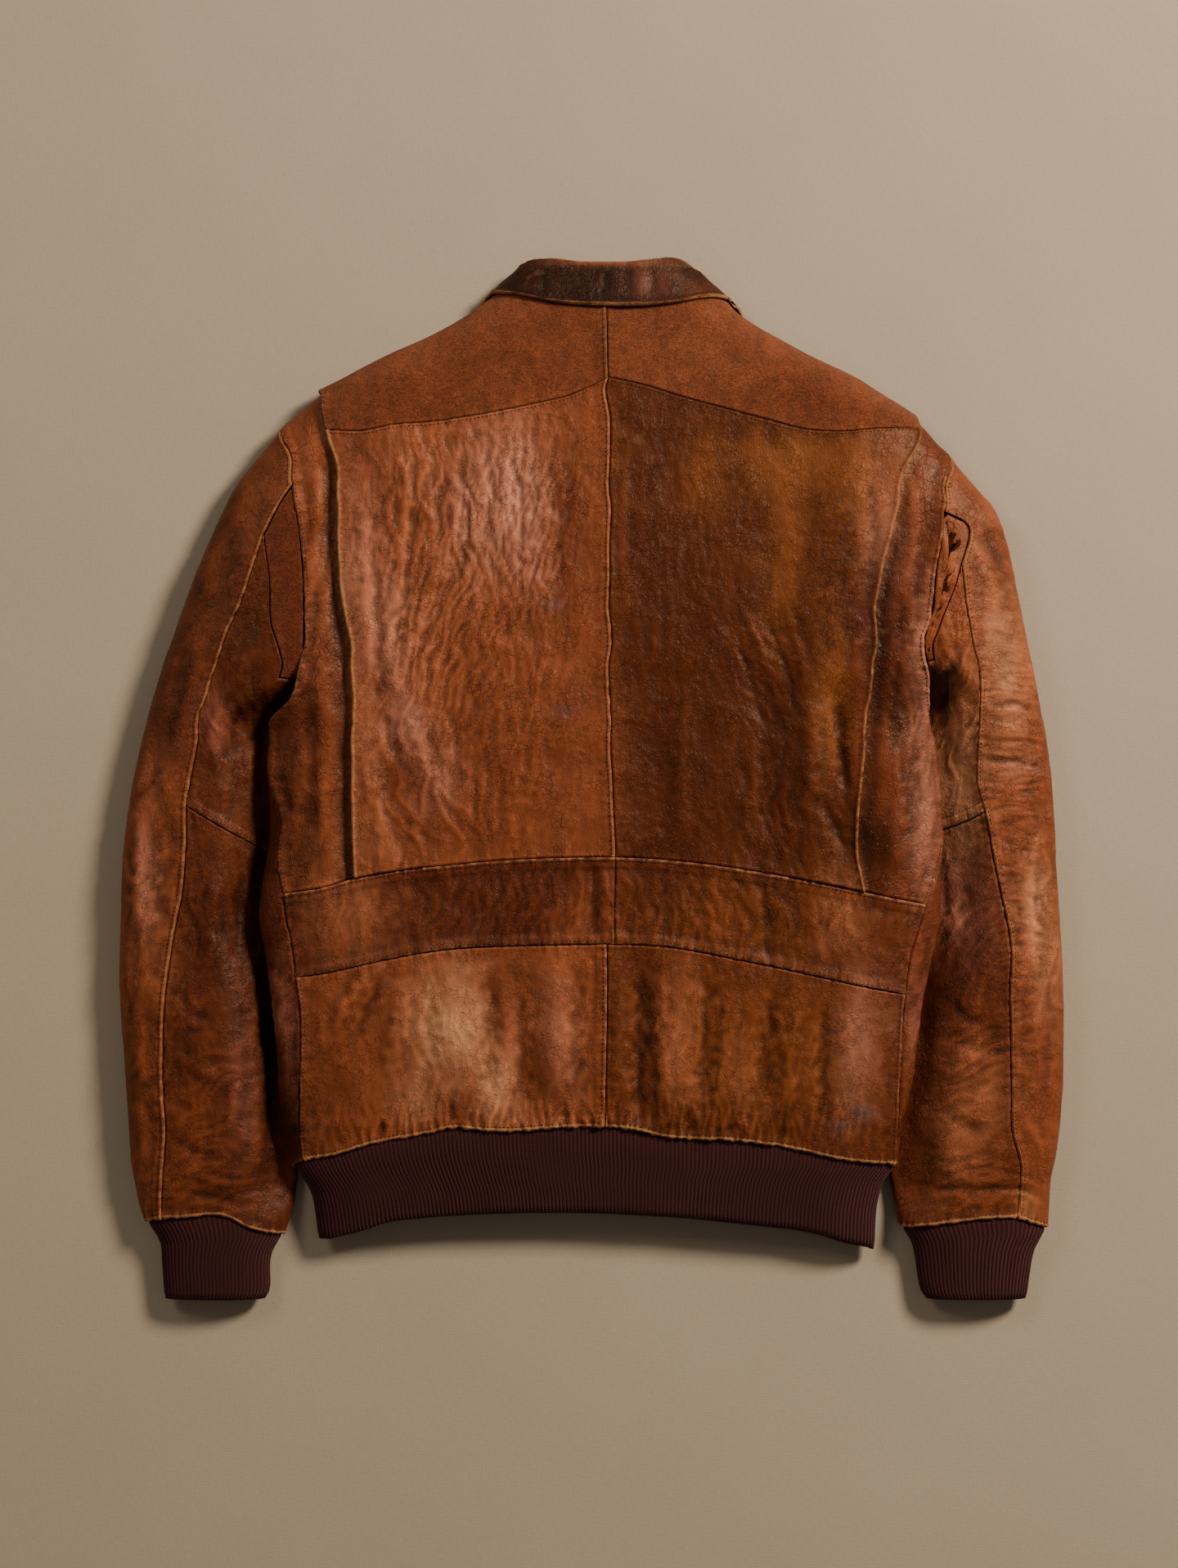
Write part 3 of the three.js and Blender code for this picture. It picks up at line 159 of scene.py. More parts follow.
RIGHT_SIDE = {
    "sign": 1,
    "body_edge": [[-352, 211], [-322, 212], [-310, 214], [-300, 217], [-294, 221], [-288, 226],
        [-258, 231], [-240, 235], [-200, 241], [-170, 245], [-145, 250], [-108, 258], [-90, 259],
        [-45, 260], [0, 258], [25, 255], [50, 249.5], [60, 253], [70, 262], [90, 290], [105, 311],
        *RIGHT_SHOULDER, [300, 195], [320, 160], [340, 124], [350, 109], [360, 99], [370, 87.5],
        [380, 75.5], [385, 69], [390, 52]],
    "sleeve_outer": [[-388, 325], [-372, 327], [-358, 329], [-348, 332], [-335, 340], [-300, 343],
        [-280, 347], [-250, 350.5], [-220, 352.5], [-150, 351.5], [-80, 348], [0, 343.5], [40, 338],
        [80, 330], *RIGHT_SHOULDER],
    "sleeve_inner": [[-388, 249], [-380, 245], [-355, 241], [-344, 238], [-336, 232], [-330, 228],
        [-310, 225], [-300, 223], [-270, 220], [-240, 226], [-200, 232], [-170, 236], [-145, 240],
        [-118, 246], [-90, 249], [-45, 250], [0, 248], [50, 243], [60, 242], [70, 238], [80, 228],
        [90, 213], [105, 190], [125, 175], [250, 160]],
    "armhole": [[50, 249.5], [55, 248.4], [70, 250], [78, 249.5], [88, 247], [98, 244.5], [108, 246],
        [120, 250], [135, 252], [155, 254], [175, 257], [200, 260], [215, 262], [235, 263],
        [247, 262.6]],
    "armhole_rows": [50, 68, 87, 105, 123, 141, 160, 200, 224, 247],
    "side_seam": [[-287, 225], [-265, 226], [-200, 229], [-158, 232], [-127, 237], [-103, 243],
        [-92, 247], [-68, 255], [-54, 260]],
    "side_rows": [-62, -30, 8],
    "pleat": [[-80, 201.5], [-65, 199], [-55, 197], [-40, 196], [-10, 199], [40, 202.5], [85, 208],
        [135, 211], [165, 217], [200, 226], [235, 233], [250, 238], [261, 243], [271, 240.5]],
    "yoke_seam": [[12, 300], [30, 297], [50, 290], [90, 279], [130, 268], [150, 262.5], [178, 259],
        [200, 261], [243, 261.5]],
    "neck_seam": [[72, 364.5], [50, 365], [30, 364.5]],
    "shoulder_rows": [247, 259, 271, 292, 314, 336, 358],
    "front_neck": [[96, 340], [83, 322], [64, 306], [40, 296]],
    "sleeve_seam": [[-328, 316], [-305, 318], [-295, 319], [-275, 313], [-250, 311], [-215, 311],
        [-160, 309.5], [-115, 310], [-85, 303], [-55, 297], [-38, 294], [-15, 290], [5, 285],
        [25, 286], [60, 287], [82, 286], [100, 282], [120, 278], [140, 275], [160, 273]],
    "gusset_lower": [[253, 89], [256, 113], [266, 138], [273, 160]],
    "gusset_mid": [279, 188],
    "elbow_seam": [[291.5, -23], [280, -29.5], [270, -34], [259, -38], [254, -40]],
    "cuff_seam": [[228, -334], [245, -333], [275, -329], [305, -326], [317, -326], [325, -329],
        [333, -333], [341, -334]],
    "collar_edge": [[62, 240], [92, 264], [112, 296], [117, 322], [113, 340]],
}
SIDES = {"left": LEFT_SIDE, "right": RIGHT_SIDE}
BELT_TOP = [[-230, -84], [-215, -82], [-200, -79], [-180, -73], [-140, -66], [-100, -62],
    [-60, -58.5], [15, -56.5], [50, -58.5], [90, -62.5], [130, -69], [170, -76], [210, -84.5],
    [247, -92]]
BELT_BOTTOM = [[-221, -146], [-200, -143], [-160, -134], [-120, -126.5], [-80, -123], [20, -121],
    [60, -123.5], [100, -131], [140, -139], [180, -148], [232, -159]]
HEM = [[-224, -288], [-215, -283], [-200, -281], [-175, -273], [-155, -268], [-130, -264],
    [-105, -258], [-70, -261], [-40, -259], [0, -257], [20, -257.5], [45, -263], [60, -266],
    [95, -267], [125, -270], [155, -275], [185, -282], [226, -287]]
BAND_BOTTOM = [[-205, -343], [-195, -342.5], [-180, -339], [-165, -333], [-150, -329], [-110, -325],
    [-50, -322.5], [10, -323], [70, -326.5], [130, -333], [160, -337], [190, -346], [208, -351]]
CENTRE_BACK = [[-57, 16.5], [-20, 15], [10, 14], [50, 12.5], [240, 12.5], [270, 12.5], [300, 11]]
CENTRE_YOKE = [[300, 11], [365, 10]]
CENTRE_BELT = [[-121, 16], [-57, 16.5]]
CENTRE_LOWER = [[-257, 8.5], [-240, 9], [-160, 10.5], [-121, 10]]
# The collar's lower edge on the back, and its fold all round, from the left front to the right.
LEAF_EDGE = [[-70, 362.3], [-56, 361], [-38, 357.5], [-20, 354.5], [0, 353], [20, 352.5], [40, 353],
    [60, 355], [80, 358.5], [93, 359.5], [104, 357]]
LEAF_FOLD_BACK = [[-64, 374], [-57, 379], [-46, 386], [-28, 388], [-8, 386.5], [15, 386], [40, 387],
    [58, 387], [72, 382], [80, 376], [86, 371.5]]
LEAF_FOLD_LEFT = [[0, 301], [-26, 308], [-50, 326], [-62, 345], [-67, 361]]
LEAF_FOLD_RIGHT = [[20, 301], [47, 308], [71, 326], [83, 343], [89, 357]]
# Heights of the leaf's edge and of its fold where they pass the body's side folds.
LEAF_END_ROWS = {"left": (361, 371), "right": (351, 367)}
CUFF_END = -388       # the cuffs' lower ends
OUTLINE_CENTRE = (-1.56, 0.99)  # the middle of the finished outline, moved to the origin


# ---------------------------------------------------------------- curves
def through(pairs):
    """A smooth function through (key, value) pairs with rising keys, held at both ends."""
    keys, values = np.array(pairs, float).T
    order = np.arange(len(keys))
    after = np.minimum(order + 1, len(keys) - 1)
    before = np.maximum(order - 1, 0)
    slopes = (values[after] - values[before]) / np.maximum(keys[after] - keys[before], 1e-9)

    def curve(key):
        held = np.clip(key, keys[0], keys[-1])
        i = np.clip(np.searchsorted(keys, held) - 1, 0, len(keys) - 2)
        span = keys[i + 1] - keys[i]
        t = (held - keys[i]) / span
        rest = 1 - t
        ends = values[i] * rest * rest * (1 + 2 * t) + values[i + 1] * t * t * (3 - 2 * t)
        return ends + span * t * rest * (slopes[i] * rest - slopes[i + 1] * t)

    return curve


def quarter_round(share):
    """Rises from 0 to 1 like a quarter circle."""
    rest = 1 - np.clip(share, 0, 1)
    return np.sqrt(1 - rest * rest)


def smooth_rise(value, start, length):
    """0 up to start, 1 from start + length on, and a smooth step between."""
    t = np.clip((value - start) / length, 0, 1)
    return t * t * (3 - 2 * t)


def between(start, end, count):
    """The ends of so many equal steps."""
    return [start + (end - start) * i / count for i in range(count + 1)]


def run_along(line):
    """Length along a line of points, from its start to each of them."""
    return np.concatenate([[0], np.cumsum(np.linalg.norm(np.diff(line, axis=0), axis=1))])


def noise(x, y, seed):
    """Smooth noise from about -1 to 1, whose features are about one unit across."""
    angles = np.random.default_rng(seed).uniform(0, 2 * math.pi, (128, 128))
    column, row = np.floor(x).astype(int), np.floor(y).astype(int)
    fx, fy = x - column, y - row
    ease_x = fx * fx * fx * (fx * (fx * 6 - 15) + 10)
    ease_y = fy * fy * fy * (fy * (fy * 6 - 15) + 10)

    def corner(dx, dy):
        angle = angles[(row + dy) % 128, (column + dx) % 128]
        return np.cos(angle) * (fx - dx) + np.sin(angle) * (fy - dy)

    low = corner(0, 0) + (corner(1, 0) - corner(0, 0)) * ease_x
    high = corner(0, 1) + (corner(1, 1) - corner(0, 1)) * ease_x
    return (low + (high - low) * ease_y) * 1.5


def layered(x, y, seed, layers=3):
    """Noise with finer and finer noise added."""
    return sum(noise(x * 2 ** k, y * 2 ** k, seed + k) * 0.55 ** k for k in range(layers))


# ---------------------------------------------------------------- the garment's surface
body_left = through(SIDES["left"]["body_edge"])
body_right = through(SIDES["right"]["body_edge"])
body_crown = through(BODY_CROWN)
body_fold = through(BODY_FOLD)
body_round = through(BODY_ROUND)
sleeve_crown = through(SLEEVE_CROWN)
sleeve_outer_fold = through(SLEEVE_OUTER_FOLD)
sleeve_inner_fold = through(SLEEVE_INNER_FOLD)
sleeve_round = through(SLEEVE_ROUND)
covered = through(COVERED)


def fold_share(x, y, start, end, width):
    """1 on the line from start to end, falling smoothly to 0 a few widths away."""
    dx, dy = end[0] - start[0], end[1] - start[1]
    along = np.clip(((x - start[0]) * dx + (y - start[1]) * dy) / (dx * dx + dy * dy), 0, 1)
    away = np.hypot(x - start[0] - along * dx, y - start[1] - along * dy) / width
    return np.exp(-away * away)


def large_folds(x, y):
    """Height of the largest folds at plan points."""
    return sum(rise * fold_share(x, y, start, end, width) for start, end, width, rise in LARGE_FOLDS)


# A place on a tube is (turn, y). On the upper side turn goes from 0 at the first fold to 1 at the
# other. On the underside it is negative counted from the first fold, or above 1 past the other.
def fold_turn(turn):
    """The turn of the place on the upper side that lies over this one."""
    return np.where(turn < 0, -turn, np.where(turn > 1, 2 - turn, turn))


def is_under(turn):
    return (turn < 0) | (turn > 1)


def collar_room(x, y):
    """The collar leaf's room below the fronts, near the neck."""
    across = 1 - smooth_rise(np.abs(x - CENTRE_FRONT), *COLLAR_ROOM_ENDS)
    return (COLLAR_LIFT + COLLAR_GAP) * smooth_rise(y, *COLLAR_ROOM_FOOT) * across


def body_tube(turn, y):
    """Points of the body's tube: turn 0 is its left fold and 1 its right fold."""
    left, right = body_left(y), body_right(y)
    x = (left + right) / 2 - (right - left) / 2 * np.cos(math.pi * fold_turn(turn))
    rise = quarter_round(np.minimum(x - left, right - x) / body_round(y))
    fold, room = body_fold(y), collar_room(x, y)
    upper = fold + (body_crown(y) - fold) * rise + large_folds(x, y) * rise
    lower = (fold - room) * (1 - rise) + room
    return np.stack([x, y, np.where(is_under(turn), lower, upper)], -1)


def sleeve_tube(side):
    """The tube of one sleeve: turn 0 is its outer fold and 1 its inner fold."""
    outer_edge, inner_edge = through(side["sleeve_outer"]), through(side["sleeve_inner"])

    def tube(turn, y):
        outer, inner = outer_edge(y), inner_edge(y)
        x = outer + (inner - outer) * (1 - np.cos(math.pi * fold_turn(turn))) / 2
        from_outer, from_inner = np.abs(x - outer), np.abs(inner - x)
        crown, wide = sleeve_crown(y), sleeve_round(y)
        outer_z, inner_z = sleeve_outer_fold(y), sleeve_inner_fold(y)
        inner_wide = 2 * TUBE_REST + (1 - covered(y)) * OPEN_WIDTH
        lower = np.maximum(outer_z * (1 - quarter_round(from_outer / wide)),
                           inner_z * (1 - quarter_round(from_inner / inner_wide)))
        outer_top = outer_z + (crown - outer_z) * quarter_round(from_outer / wide)
        open_top = inner_z + (crown - inner_z) * quarter_round(from_inner / wide)
        tucked_top = (inner_z + TUBE_REST * quarter_round(from_inner / TUBE_REST)
                      + (crown - inner_z - TUBE_REST) * smooth_rise(from_inner, *TUCKED_RISE))
        inner_top = open_top + (tucked_top - open_top) * covered(y)
        soft = quarter_round(from_outer / wide) * quarter_round(from_inner / wide)
        upper = np.minimum(outer_top, inner_top) + large_folds(x, y) * soft
        return np.stack([x, y, np.where(is_under(turn), lower, upper)], -1)

    return tube


def surface_of(tube, outward):
    """Adds the outward normal to a tube's points."""
    turn_step, row_step = 1e-4, 0.05

    def surface(turn, y):
        across = tube(turn + turn_step, y) - tube(turn - turn_step, y)
        along = tube(turn, y + row_step) - tube(turn, y - row_step)
        normal = np.cross(across, along)
        normal *= outward / np.maximum(np.linalg.norm(normal, axis=-1, keepdims=True), 1e-12)
        return tube(turn, y), normal

    return surface


body_surface = surface_of(body_tube, 1)


def body_turn(point):
    """The turn of a plan point on the upper side of the body."""
    x, y = point
    left, right = body_left(y), body_right(y)
    return math.acos(float(np.clip((left + right - 2 * x) / (right - left), -1, 1))) / math.pi


# ---------------------------------------------------------------- creases and wrinkles
# A crease is the points of its line, its half width and its height; below 0 it is a trough.
BODY_CREASES = [
    # left back panel
    ([(-112, 165), (-128, 118), (-150, 60)], 4.5, 1.9), ([(-125, 215), (-118, 180)], 4, 1.6),
    ([(-150, 215), (-152, 188)], 4, 1.4), ([(-142, 240), (-138, 205), (-142, 150)], 4, 1.5),
    ([(-104, 232), (-100, 196), (-112, 165)], 4, 1.4), ([(-84, 238), (-80, 205), (-88, 168)], 4, 1.3),
    ([(-132, 200), (-136, 168), (-140, 128), (-146, 92)], 3.5, -1.6),
    ([(-94, 215), (-92, 180), (-104, 140)], 3.5, -1.4),
    ([(-66, 245), (-62, 215), (-70, 178)], 4, 1.2), ([(-56, 232), (-50, 190), (-54, 150)], 4, -1.2),
    ([(-38, 225), (-34, 180)], 4, 0.9), ([(-26, 200), (-24, 140)], 4, -0.8),
    ([(-160, 150), (-156, 100), (-158, 55)], 4, -1.5),
    ([(-170, 215), (-168, 150), (-166, 80)], 4.5, 1.3),
    ([(-158, 58), (-150, 30), (-140, 2)], 6, -1.8),
    ([(-166, 12), (-161, -18), (-153, -58)], 5.5, 1.9),
    ([(-140, 52), (-126, 22), (-120, -6)], 4.5, 1.2), ([(-122, 40), (-116, 12)], 4, -0.9),
    ([(-104, 60), (-100, 20), (-102, -20)], 5, -0.8), ([(-76, -44), (-72, -22)], 3.5, 1.1),
    ([(-62, -46), (-60, -18)], 3.5, 1.1), ([(-48, -48), (-47, -26)], 3.5, 0.9),
    ([(-128, -58), (-132, -30), (-142, -8)], 4.5, 1.1),
    # right back panel
    ([(180, 60), (183, 30), (187, -10)], 3.5, -2.4),
    ([(170, -15), (178, -34), (190, -55)], 3.5, -2.2), ([(192, 40), (196, 5), (193, -40)], 4.5, 1.7),
    ([(160, 70), (163, 30), (160, -20)], 6, 1.4), ([(118, 40), (119, 0), (118, -50)], 6, 1.2),
    ([(65, 60), (66, 10), (68, -45)], 6, 1.1), ([(112, 128), (128, 88), (140, 48)], 3, 0.9),
    ([(128, 122), (142, 84), (150, 50)], 3, -0.9), ([(104, 110), (118, 74), (126, 40)], 3, -0.8),
    ([(142, 128), (153, 96), (158, 66)], 3, 0.9), ([(150, -40), (154, -70)], 4, -1.2),
    ([(24, 232), (20, 180), (26, 120)], 3, 0.6), ([(205, 225), (210, 180), (204, 130)], 4, -0.9),
    # side panels
    ([(-212, 60), (-206, 10), (-210, -40)], 5, -1.6), ([(-198, 150), (-202, 90), (-196, 30)], 5, 1.3),
    ([(-205, 235), (-204, 200), (-208, 150)], 3.5, 1.4), ([(-196, 214), (-198, 170)], 3.5, -1.2),
    ([(-222, 20), (-220, -20), (-224, -60)], 5, 1.2), ([(222, 20), (226, -30), (222, -70)], 5, 1.4),
    ([(238, 30), (240, -10), (236, -50)], 5, -1.3), ([(236, 225), (238, 180), (230, 140)], 3.5, 1.3),
    ([(228, 140), (226, 90), (222, 50)], 4, -1.2),
    # belt
    ([(-10, -58), (-11, -118)], 3.5, 1.1), ([(0, -57), (1, -116)], 3, -0.8),
    ([(9, -58), (10, -116)], 3.5, 1.2), ([(85, -64), (89, -98), (88, -126)], 5, 1.1),
    ([(124, -70), (128, -100), (130, -136)], 3.5, -1.4),
    ([(158, -76), (164, -104), (171, -142)], 5, 1.2), ([(-170, -78), (-168, -130)], 5, 0.9),
    ([(-120, -70), (-124, -122)], 5, -0.8), ([(-60, -64), (-62, -118)], 5, 0.9),
    # lower back
    ([(-165, -140), (-178, -160), (-195, -190)], 6, 2.6),
    ([(-150, -140), (-164, -168), (-182, -202)], 6, -2.2),
    ([(-138, -142), (-142, -180), (-150, -225)], 7, 1.8),
    ([(-118, -150), (-120, -190), (-122, -235)], 7, -1.4),
    ([(-76, -135), (-74, -180), (-76, -240)], 7, -2.0),
    ([(-54, -150), (-53, -200), (-56, -245)], 6, -1.8),
    ([(-12, -130), (-12, -190), (-16, -240)], 7, -1.9),
    ([(22, -135), (20, -190), (20, -245)], 6, 1.4), ([(36, -140), (34, -195), (32, -248)], 5, -2.2),
    ([(52, -135), (50, -190), (54, -250)], 6, 1.8), ([(86, -140), (84, -190), (80, -240)], 6, -2.2),
    ([(104, -150), (98, -200), (92, -245)], 6, 1.6),
    ([(136, -150), (128, -190), (124, -240)], 6, -2.3),
    ([(152, -155), (146, -200), (144, -250)], 6, 1.7),
    ([(172, -160), (170, -210), (172, -262)], 5.5, -1.9), ([(190, -165), (186, -215)], 6, 1.6),
    ([(-156, -268), (-157, -248)], 3, -2.2), ([(-105, -258), (-104, -235)], 3, -2.2),
    ([(-62, -258), (-62, -240)], 2.8, -1.6), ([(-22, -256), (-22, -242)], 2.8, -1.5),
    ([(70, -265), (71, -240)], 3, -2.3), ([(103, -266), (104, -248)], 3, -1.9),
    ([(140, -270), (140, -253)], 3, -2.0),
    # side strips
    ([(-244, -132), (-234, -142), (-220, -152)], 3, -1.5),
    ([(-232, -160), (-228, -200), (-224, -250)], 4, 1.2),
    ([(238, -165), (236, -210), (228, -260)], 4, 1.2), ([(250, -110), (246, -150)], 4, -1.2),
    # yoke and its ends
    ([(-190, 282), (-160, 300), (-130, 312)], 8, 0.7), ([(150, 300), (190, 286), (222, 272)], 8, 0.7),
    ([(60, 345), (90, 320), (130, 300)], 9, -0.6),
]
SLEEVE_CREASES = [
    # left sleeve
    ([(-258, -150), (-250, -215), (-252, -290)], 5, 1.9),
    ([(-276, 62), (-282, 35), (-284, 8)], 5, 1.5), ([(-334, -35), (-338, -75), (-336, -115)], 5, 1.7),
    ([(-320, 15), (-334, -8), (-346, -20)], 3.5, -1.2),
    ([(-312, -150), (-300, -170), (-282, -182)], 4, -1.2),
    ([(-312, -200), (-292, -216), (-272, -222)], 4, 1.2),
    ([(-316, -262), (-296, -276), (-270, -280)], 4, -1.1),
    ([(-280, -70), (-286, -100), (-280, -140)], 5, 1.3),
    ([(-262, -70), (-264, -110), (-262, -140)], 5, -1.3),
    ([(-262, 55), (-268, 20), (-262, -20)], 5, -1.4), ([(-252, 100), (-262, 78), (-276, 62)], 4, 1.3),
    ([(-330, -190), (-338, -240), (-334, -290)], 6, 1.2), ([(-342, -140), (-346, -190)], 5, -1.0),
    ([(-270, 190), (-282, 165), (-284, 130)], 6, 1.0),
    ([(-300, 100), (-308, 60), (-318, 20)], 6, -1.0),
    ([(-305, -305), (-285, -310), (-262, -314)], 3, -1.2),
    ([(-300, -292), (-280, -298), (-250, -300)], 3, 1.0),
    # right sleeve
    ([(292, 56), (312, 58), (334, 50)], 3.5, -1.4), ([(290, 14), (314, 16), (338, 8)], 3.5, -1.3),
    ([(290, 36), (312, 36), (330, 32)], 4, 1.1), ([(288, 190), (298, 172), (310, 150)], 3.5, -1.2),
    ([(280, 178), (292, 158), (300, 130)], 3.5, 1.2), ([(300, 200), (312, 180), (318, 150)], 4, 1.0),
    ([(268, 96), (262, 60), (266, 20)], 4.5, -1.5), ([(256, 120), (262, 96), (272, 84)], 3.5, 1.3),
    ([(276, 100), (274, 60), (276, 20)], 4.5, 1.2), ([(266, -50), (272, -90), (268, -130)], 5, 1.4),
    ([(262, -160), (280, -178), (300, -182)], 5, -1.4),
    ([(262, -196), (280, -205), (302, -208)], 5, 1.4),
    ([(258, -240), (276, -256), (300, -262)], 5, -1.2),
    ([(262, -290), (284, -296), (310, -298)], 3.5, 1.0),
    ([(250, -304), (280, -304), (325, -303)], 2.5, -1.4),
    ([(320, -60), (326, -110), (322, -150)], 6, 1.5),
    ([(338, -130), (340, -190), (336, -240)], 6, -1.0),
    ([(316, -245), (328, -262), (338, -285)], 4.5, 1.1),
    # folds fanning out over the right gusset
    ([(256, 195), (264, 182), (274, 168)], 2.4, -0.6),
    ([(257, 190), (264, 168), (270, 144)], 3.0, 0.8),
    ([(256, 187), (259, 160), (263, 132)], 2.4, -0.7),
    ([(259, 150), (261, 128), (262, 106)], 2.6, 0.7),
]
COLLAR_CREASES = [
    ([(-37, 384), (-36, 360)], 2.6, -1.2), ([(10, 384), (9, 358)], 2.4, -0.9),
    ([(25, 384), (27, 358)], 2.6, -1.1), ([(34, 384), (36, 360)], 3, 1.0),
    ([(44, 384), (46, 360)], 2.6, -1.1), ([(-58, 372), (-40, 366)], 3, 0.8),
]
# A field of wrinkles: middle x, y, half width, half length, direction in degrees, the wrinkles'
# spacing and their height.
BODY_WRINKLES = [
    (-100, 205, 80, 60, 96, 8, 1.5), (-122, 110, 56, 75, 72, 8, 1.3), (-45, 180, 40, 90, 86, 7, 1.1),
    (-60, 60, 50, 90, 84, 9, 0.7), (-115, -15, 60, 50, 104, 14, 1.1), (70, 190, 70, 90, 93, 9, 0.35),
    (40, 60, 40, 110, 96, 10, 0.3), (132, 70, 40, 60, 118, 7, 0.5), (185, 150, 30, 80, 80, 6, 0.6),
    (150, -20, 50, 45, 96, 13, 0.8), (-205, 80, 22, 130, 92, 9, 1.0), (232, 60, 24, 140, 92, 9, 1.0),
    (-60, -92, 150, 34, 82, 9, 0.9), (110, -98, 110, 36, 100, 10, 0.9),
    (-120, -200, 90, 60, 96, 13, 0.5), (20, -195, 70, 70, 92, 14, 0.4),
    (130, -205, 80, 60, 84, 9, 0.45), (-232, -190, 18, 90, 100, 5, 0.7),
    (242, -190, 20, 90, 84, 6, 0.8), (0, -255, 220, 20, 90, 7, 1.2),
]
SLEEVE_WRINKLES = [
    (-330, -80, 40, 120, 100, 13, 0.9), (-320, -230, 40, 90, 84, 14, 0.7),
    (-275, -110, 30, 60, 96, 11, 1.0), (-280, -230, 36, 60, 40, 13, 0.9),
    (-285, -300, 50, 30, 10, 8, 0.9), (-262, 40, 26, 60, 100, 10, 1.0),
    (-290, 160, 50, 80, 62, 15, 0.6), (310, 10, 26, 110, 2, 5.5, 0.9),
    (312, -150, 24, 100, 6, 6, 0.7), (306, 170, 30, 50, 118, 8, 0.7), (266, 60, 24, 70, 80, 9, 1.0),
    (282, -115, 28, 60, 60, 8, 0.7), (280, -215, 34, 50, 12, 9, 0.7), (288, -300, 50, 30, 4, 8, 0.9),
    (335, -60, 24, 170, 94, 15, 0.7),
]


def crease_relief(x, y, creases):
    """Height of all the creases at plan points."""
    height = np.zeros_like(x)
    for line, width, rise in creases:
        xs, ys = zip(*line)
        reach = 3 * width
        near = ((x > min(xs) - reach) & (x < max(xs) + reach)
                & (y > min(ys) - reach) & (y < max(ys) + reach))
        if not near.any():
            continue
        px, py = x[near], y[near]
        wander = noise(px / 9 + 3, py / 9, 41) * 0.5 * width
        nearest = np.max([fold_share(px + wander, py, a, b, width) for a, b in zip(line, line[1:])], 0)
        to_end = np.minimum(np.hypot(px - xs[0], py - ys[0]), np.hypot(px - xs[-1], py - ys[-1]))
        height[near] += rise * nearest * smooth_rise(to_end, -width, 5 * width)
    return height


def wrinkle_relief(x, y, fields):
    """Height of fields of branching wrinkles at plan points."""
    height = np.zeros_like(x)
    for seed, (cx, cy, half_width, half_length, direction, spacing, rise) in enumerate(fields):
        share = np.exp(-((x - cx) / half_width) ** 2 - ((y - cy) / half_length) ** 2)
        near = share > 0.02
        if not near.any():
            continue
        px, py = x[near], y[near]
        turn = math.radians(direction)
        along = px * math.cos(turn) + py * math.sin(turn)
        across = py * math.cos(turn) - px * math.sin(turn)
        across = across + layered(px / 40, py / 40, seed + 70, 2) * spacing * 0.8
        lines = 1 - np.abs(noise(across / spacing, along / spacing / 4.5, seed + 200))
        finer = 1 - np.abs(noise(across / spacing * 1.9 + 7, along / spacing / 2.6, seed + 240))
        height[near] += share[near] * rise * (1.25 * lines ** 4 + 0.5 * finer ** 4 - 0.5)
    return height


def skin_relief(x, y):
    """The soft unevenness that all worn leather has."""
    return (layered(x / 46, y / 62, 5, 2) * 0.75 + layered(x / 17, y / 24, 9, 2) * 0.32
            + noise(x / 5.5, y / 7, 15) * 0.10)


def body_relief(x, y):
    """All the relief of a leather piece of the body."""
    return skin_relief(x, y) + crease_relief(x, y, BODY_CREASES) + wrinkle_relief(x, y, BODY_WRINKLES)


def side_relief(x, y):
    """The side panels dip where the pleat folds over them."""
    pleat_at = through(SIDES["left"]["pleat"]) if x.mean() < 0 else through(SIDES["right"]["pleat"])
    outside = np.sign(x.mean()) * (x - pleat_at(y))
    dip = np.exp(-((outside - 4) / 7.5) ** 2) * (1 - smooth_rise(y, 225, 40))
    return body_relief(x, y) - PLEAT_DIP * dip


def yoke_relief(x, y):
    return skin_relief(x, y) * 0.8 + crease_relief(x, y, BODY_CREASES)


def sleeve_relief(x, y):
    return (skin_relief(x + 400, y) + crease_relief(x, y, SLEEVE_CREASES)
            + wrinkle_relief(x, y, SLEEVE_WRINKLES))


def collar_relief(x, y):
    return skin_relief(x, y - 600) * 0.7 + crease_relief(x, y, COLLAR_CREASES)


# ---------------------------------------------------------------- colours over the pieces
def linear(hex_colour):
    """Linear RGB of a colour written as six hex digits."""
    values = np.array([int(hex_colour[i:i + 2], 16) for i in (0, 2, 4)]) / 255
    return np.where(values <= 0.04045, values / 12.92, ((values + 0.055) / 1.055) ** 2.4)


# The sheen and rose sheen tones are painted highlights: the pinkish light reflected off smooth hide.
TONES = {name: linear(value) for name, value in {
    "hide": "7a3c20", "bright": "975433", "gold": "bf7f57", "deep": "592611", "umber": "4b1e08",
    "dark": "381206", "black": "1b0701", "collar": "280d06", "ochre": "7b411b",
    "plum": "42190f", "painted_sheen": "ae6c52", "painted_rose_sheen": "8a4c39", "suede": "7d3f22",
    "suede_red": "6a3018", "tan": "a8703e", "grey": "524440", "knit": "3a1512",
    "belt": "51200e",
}.items()}
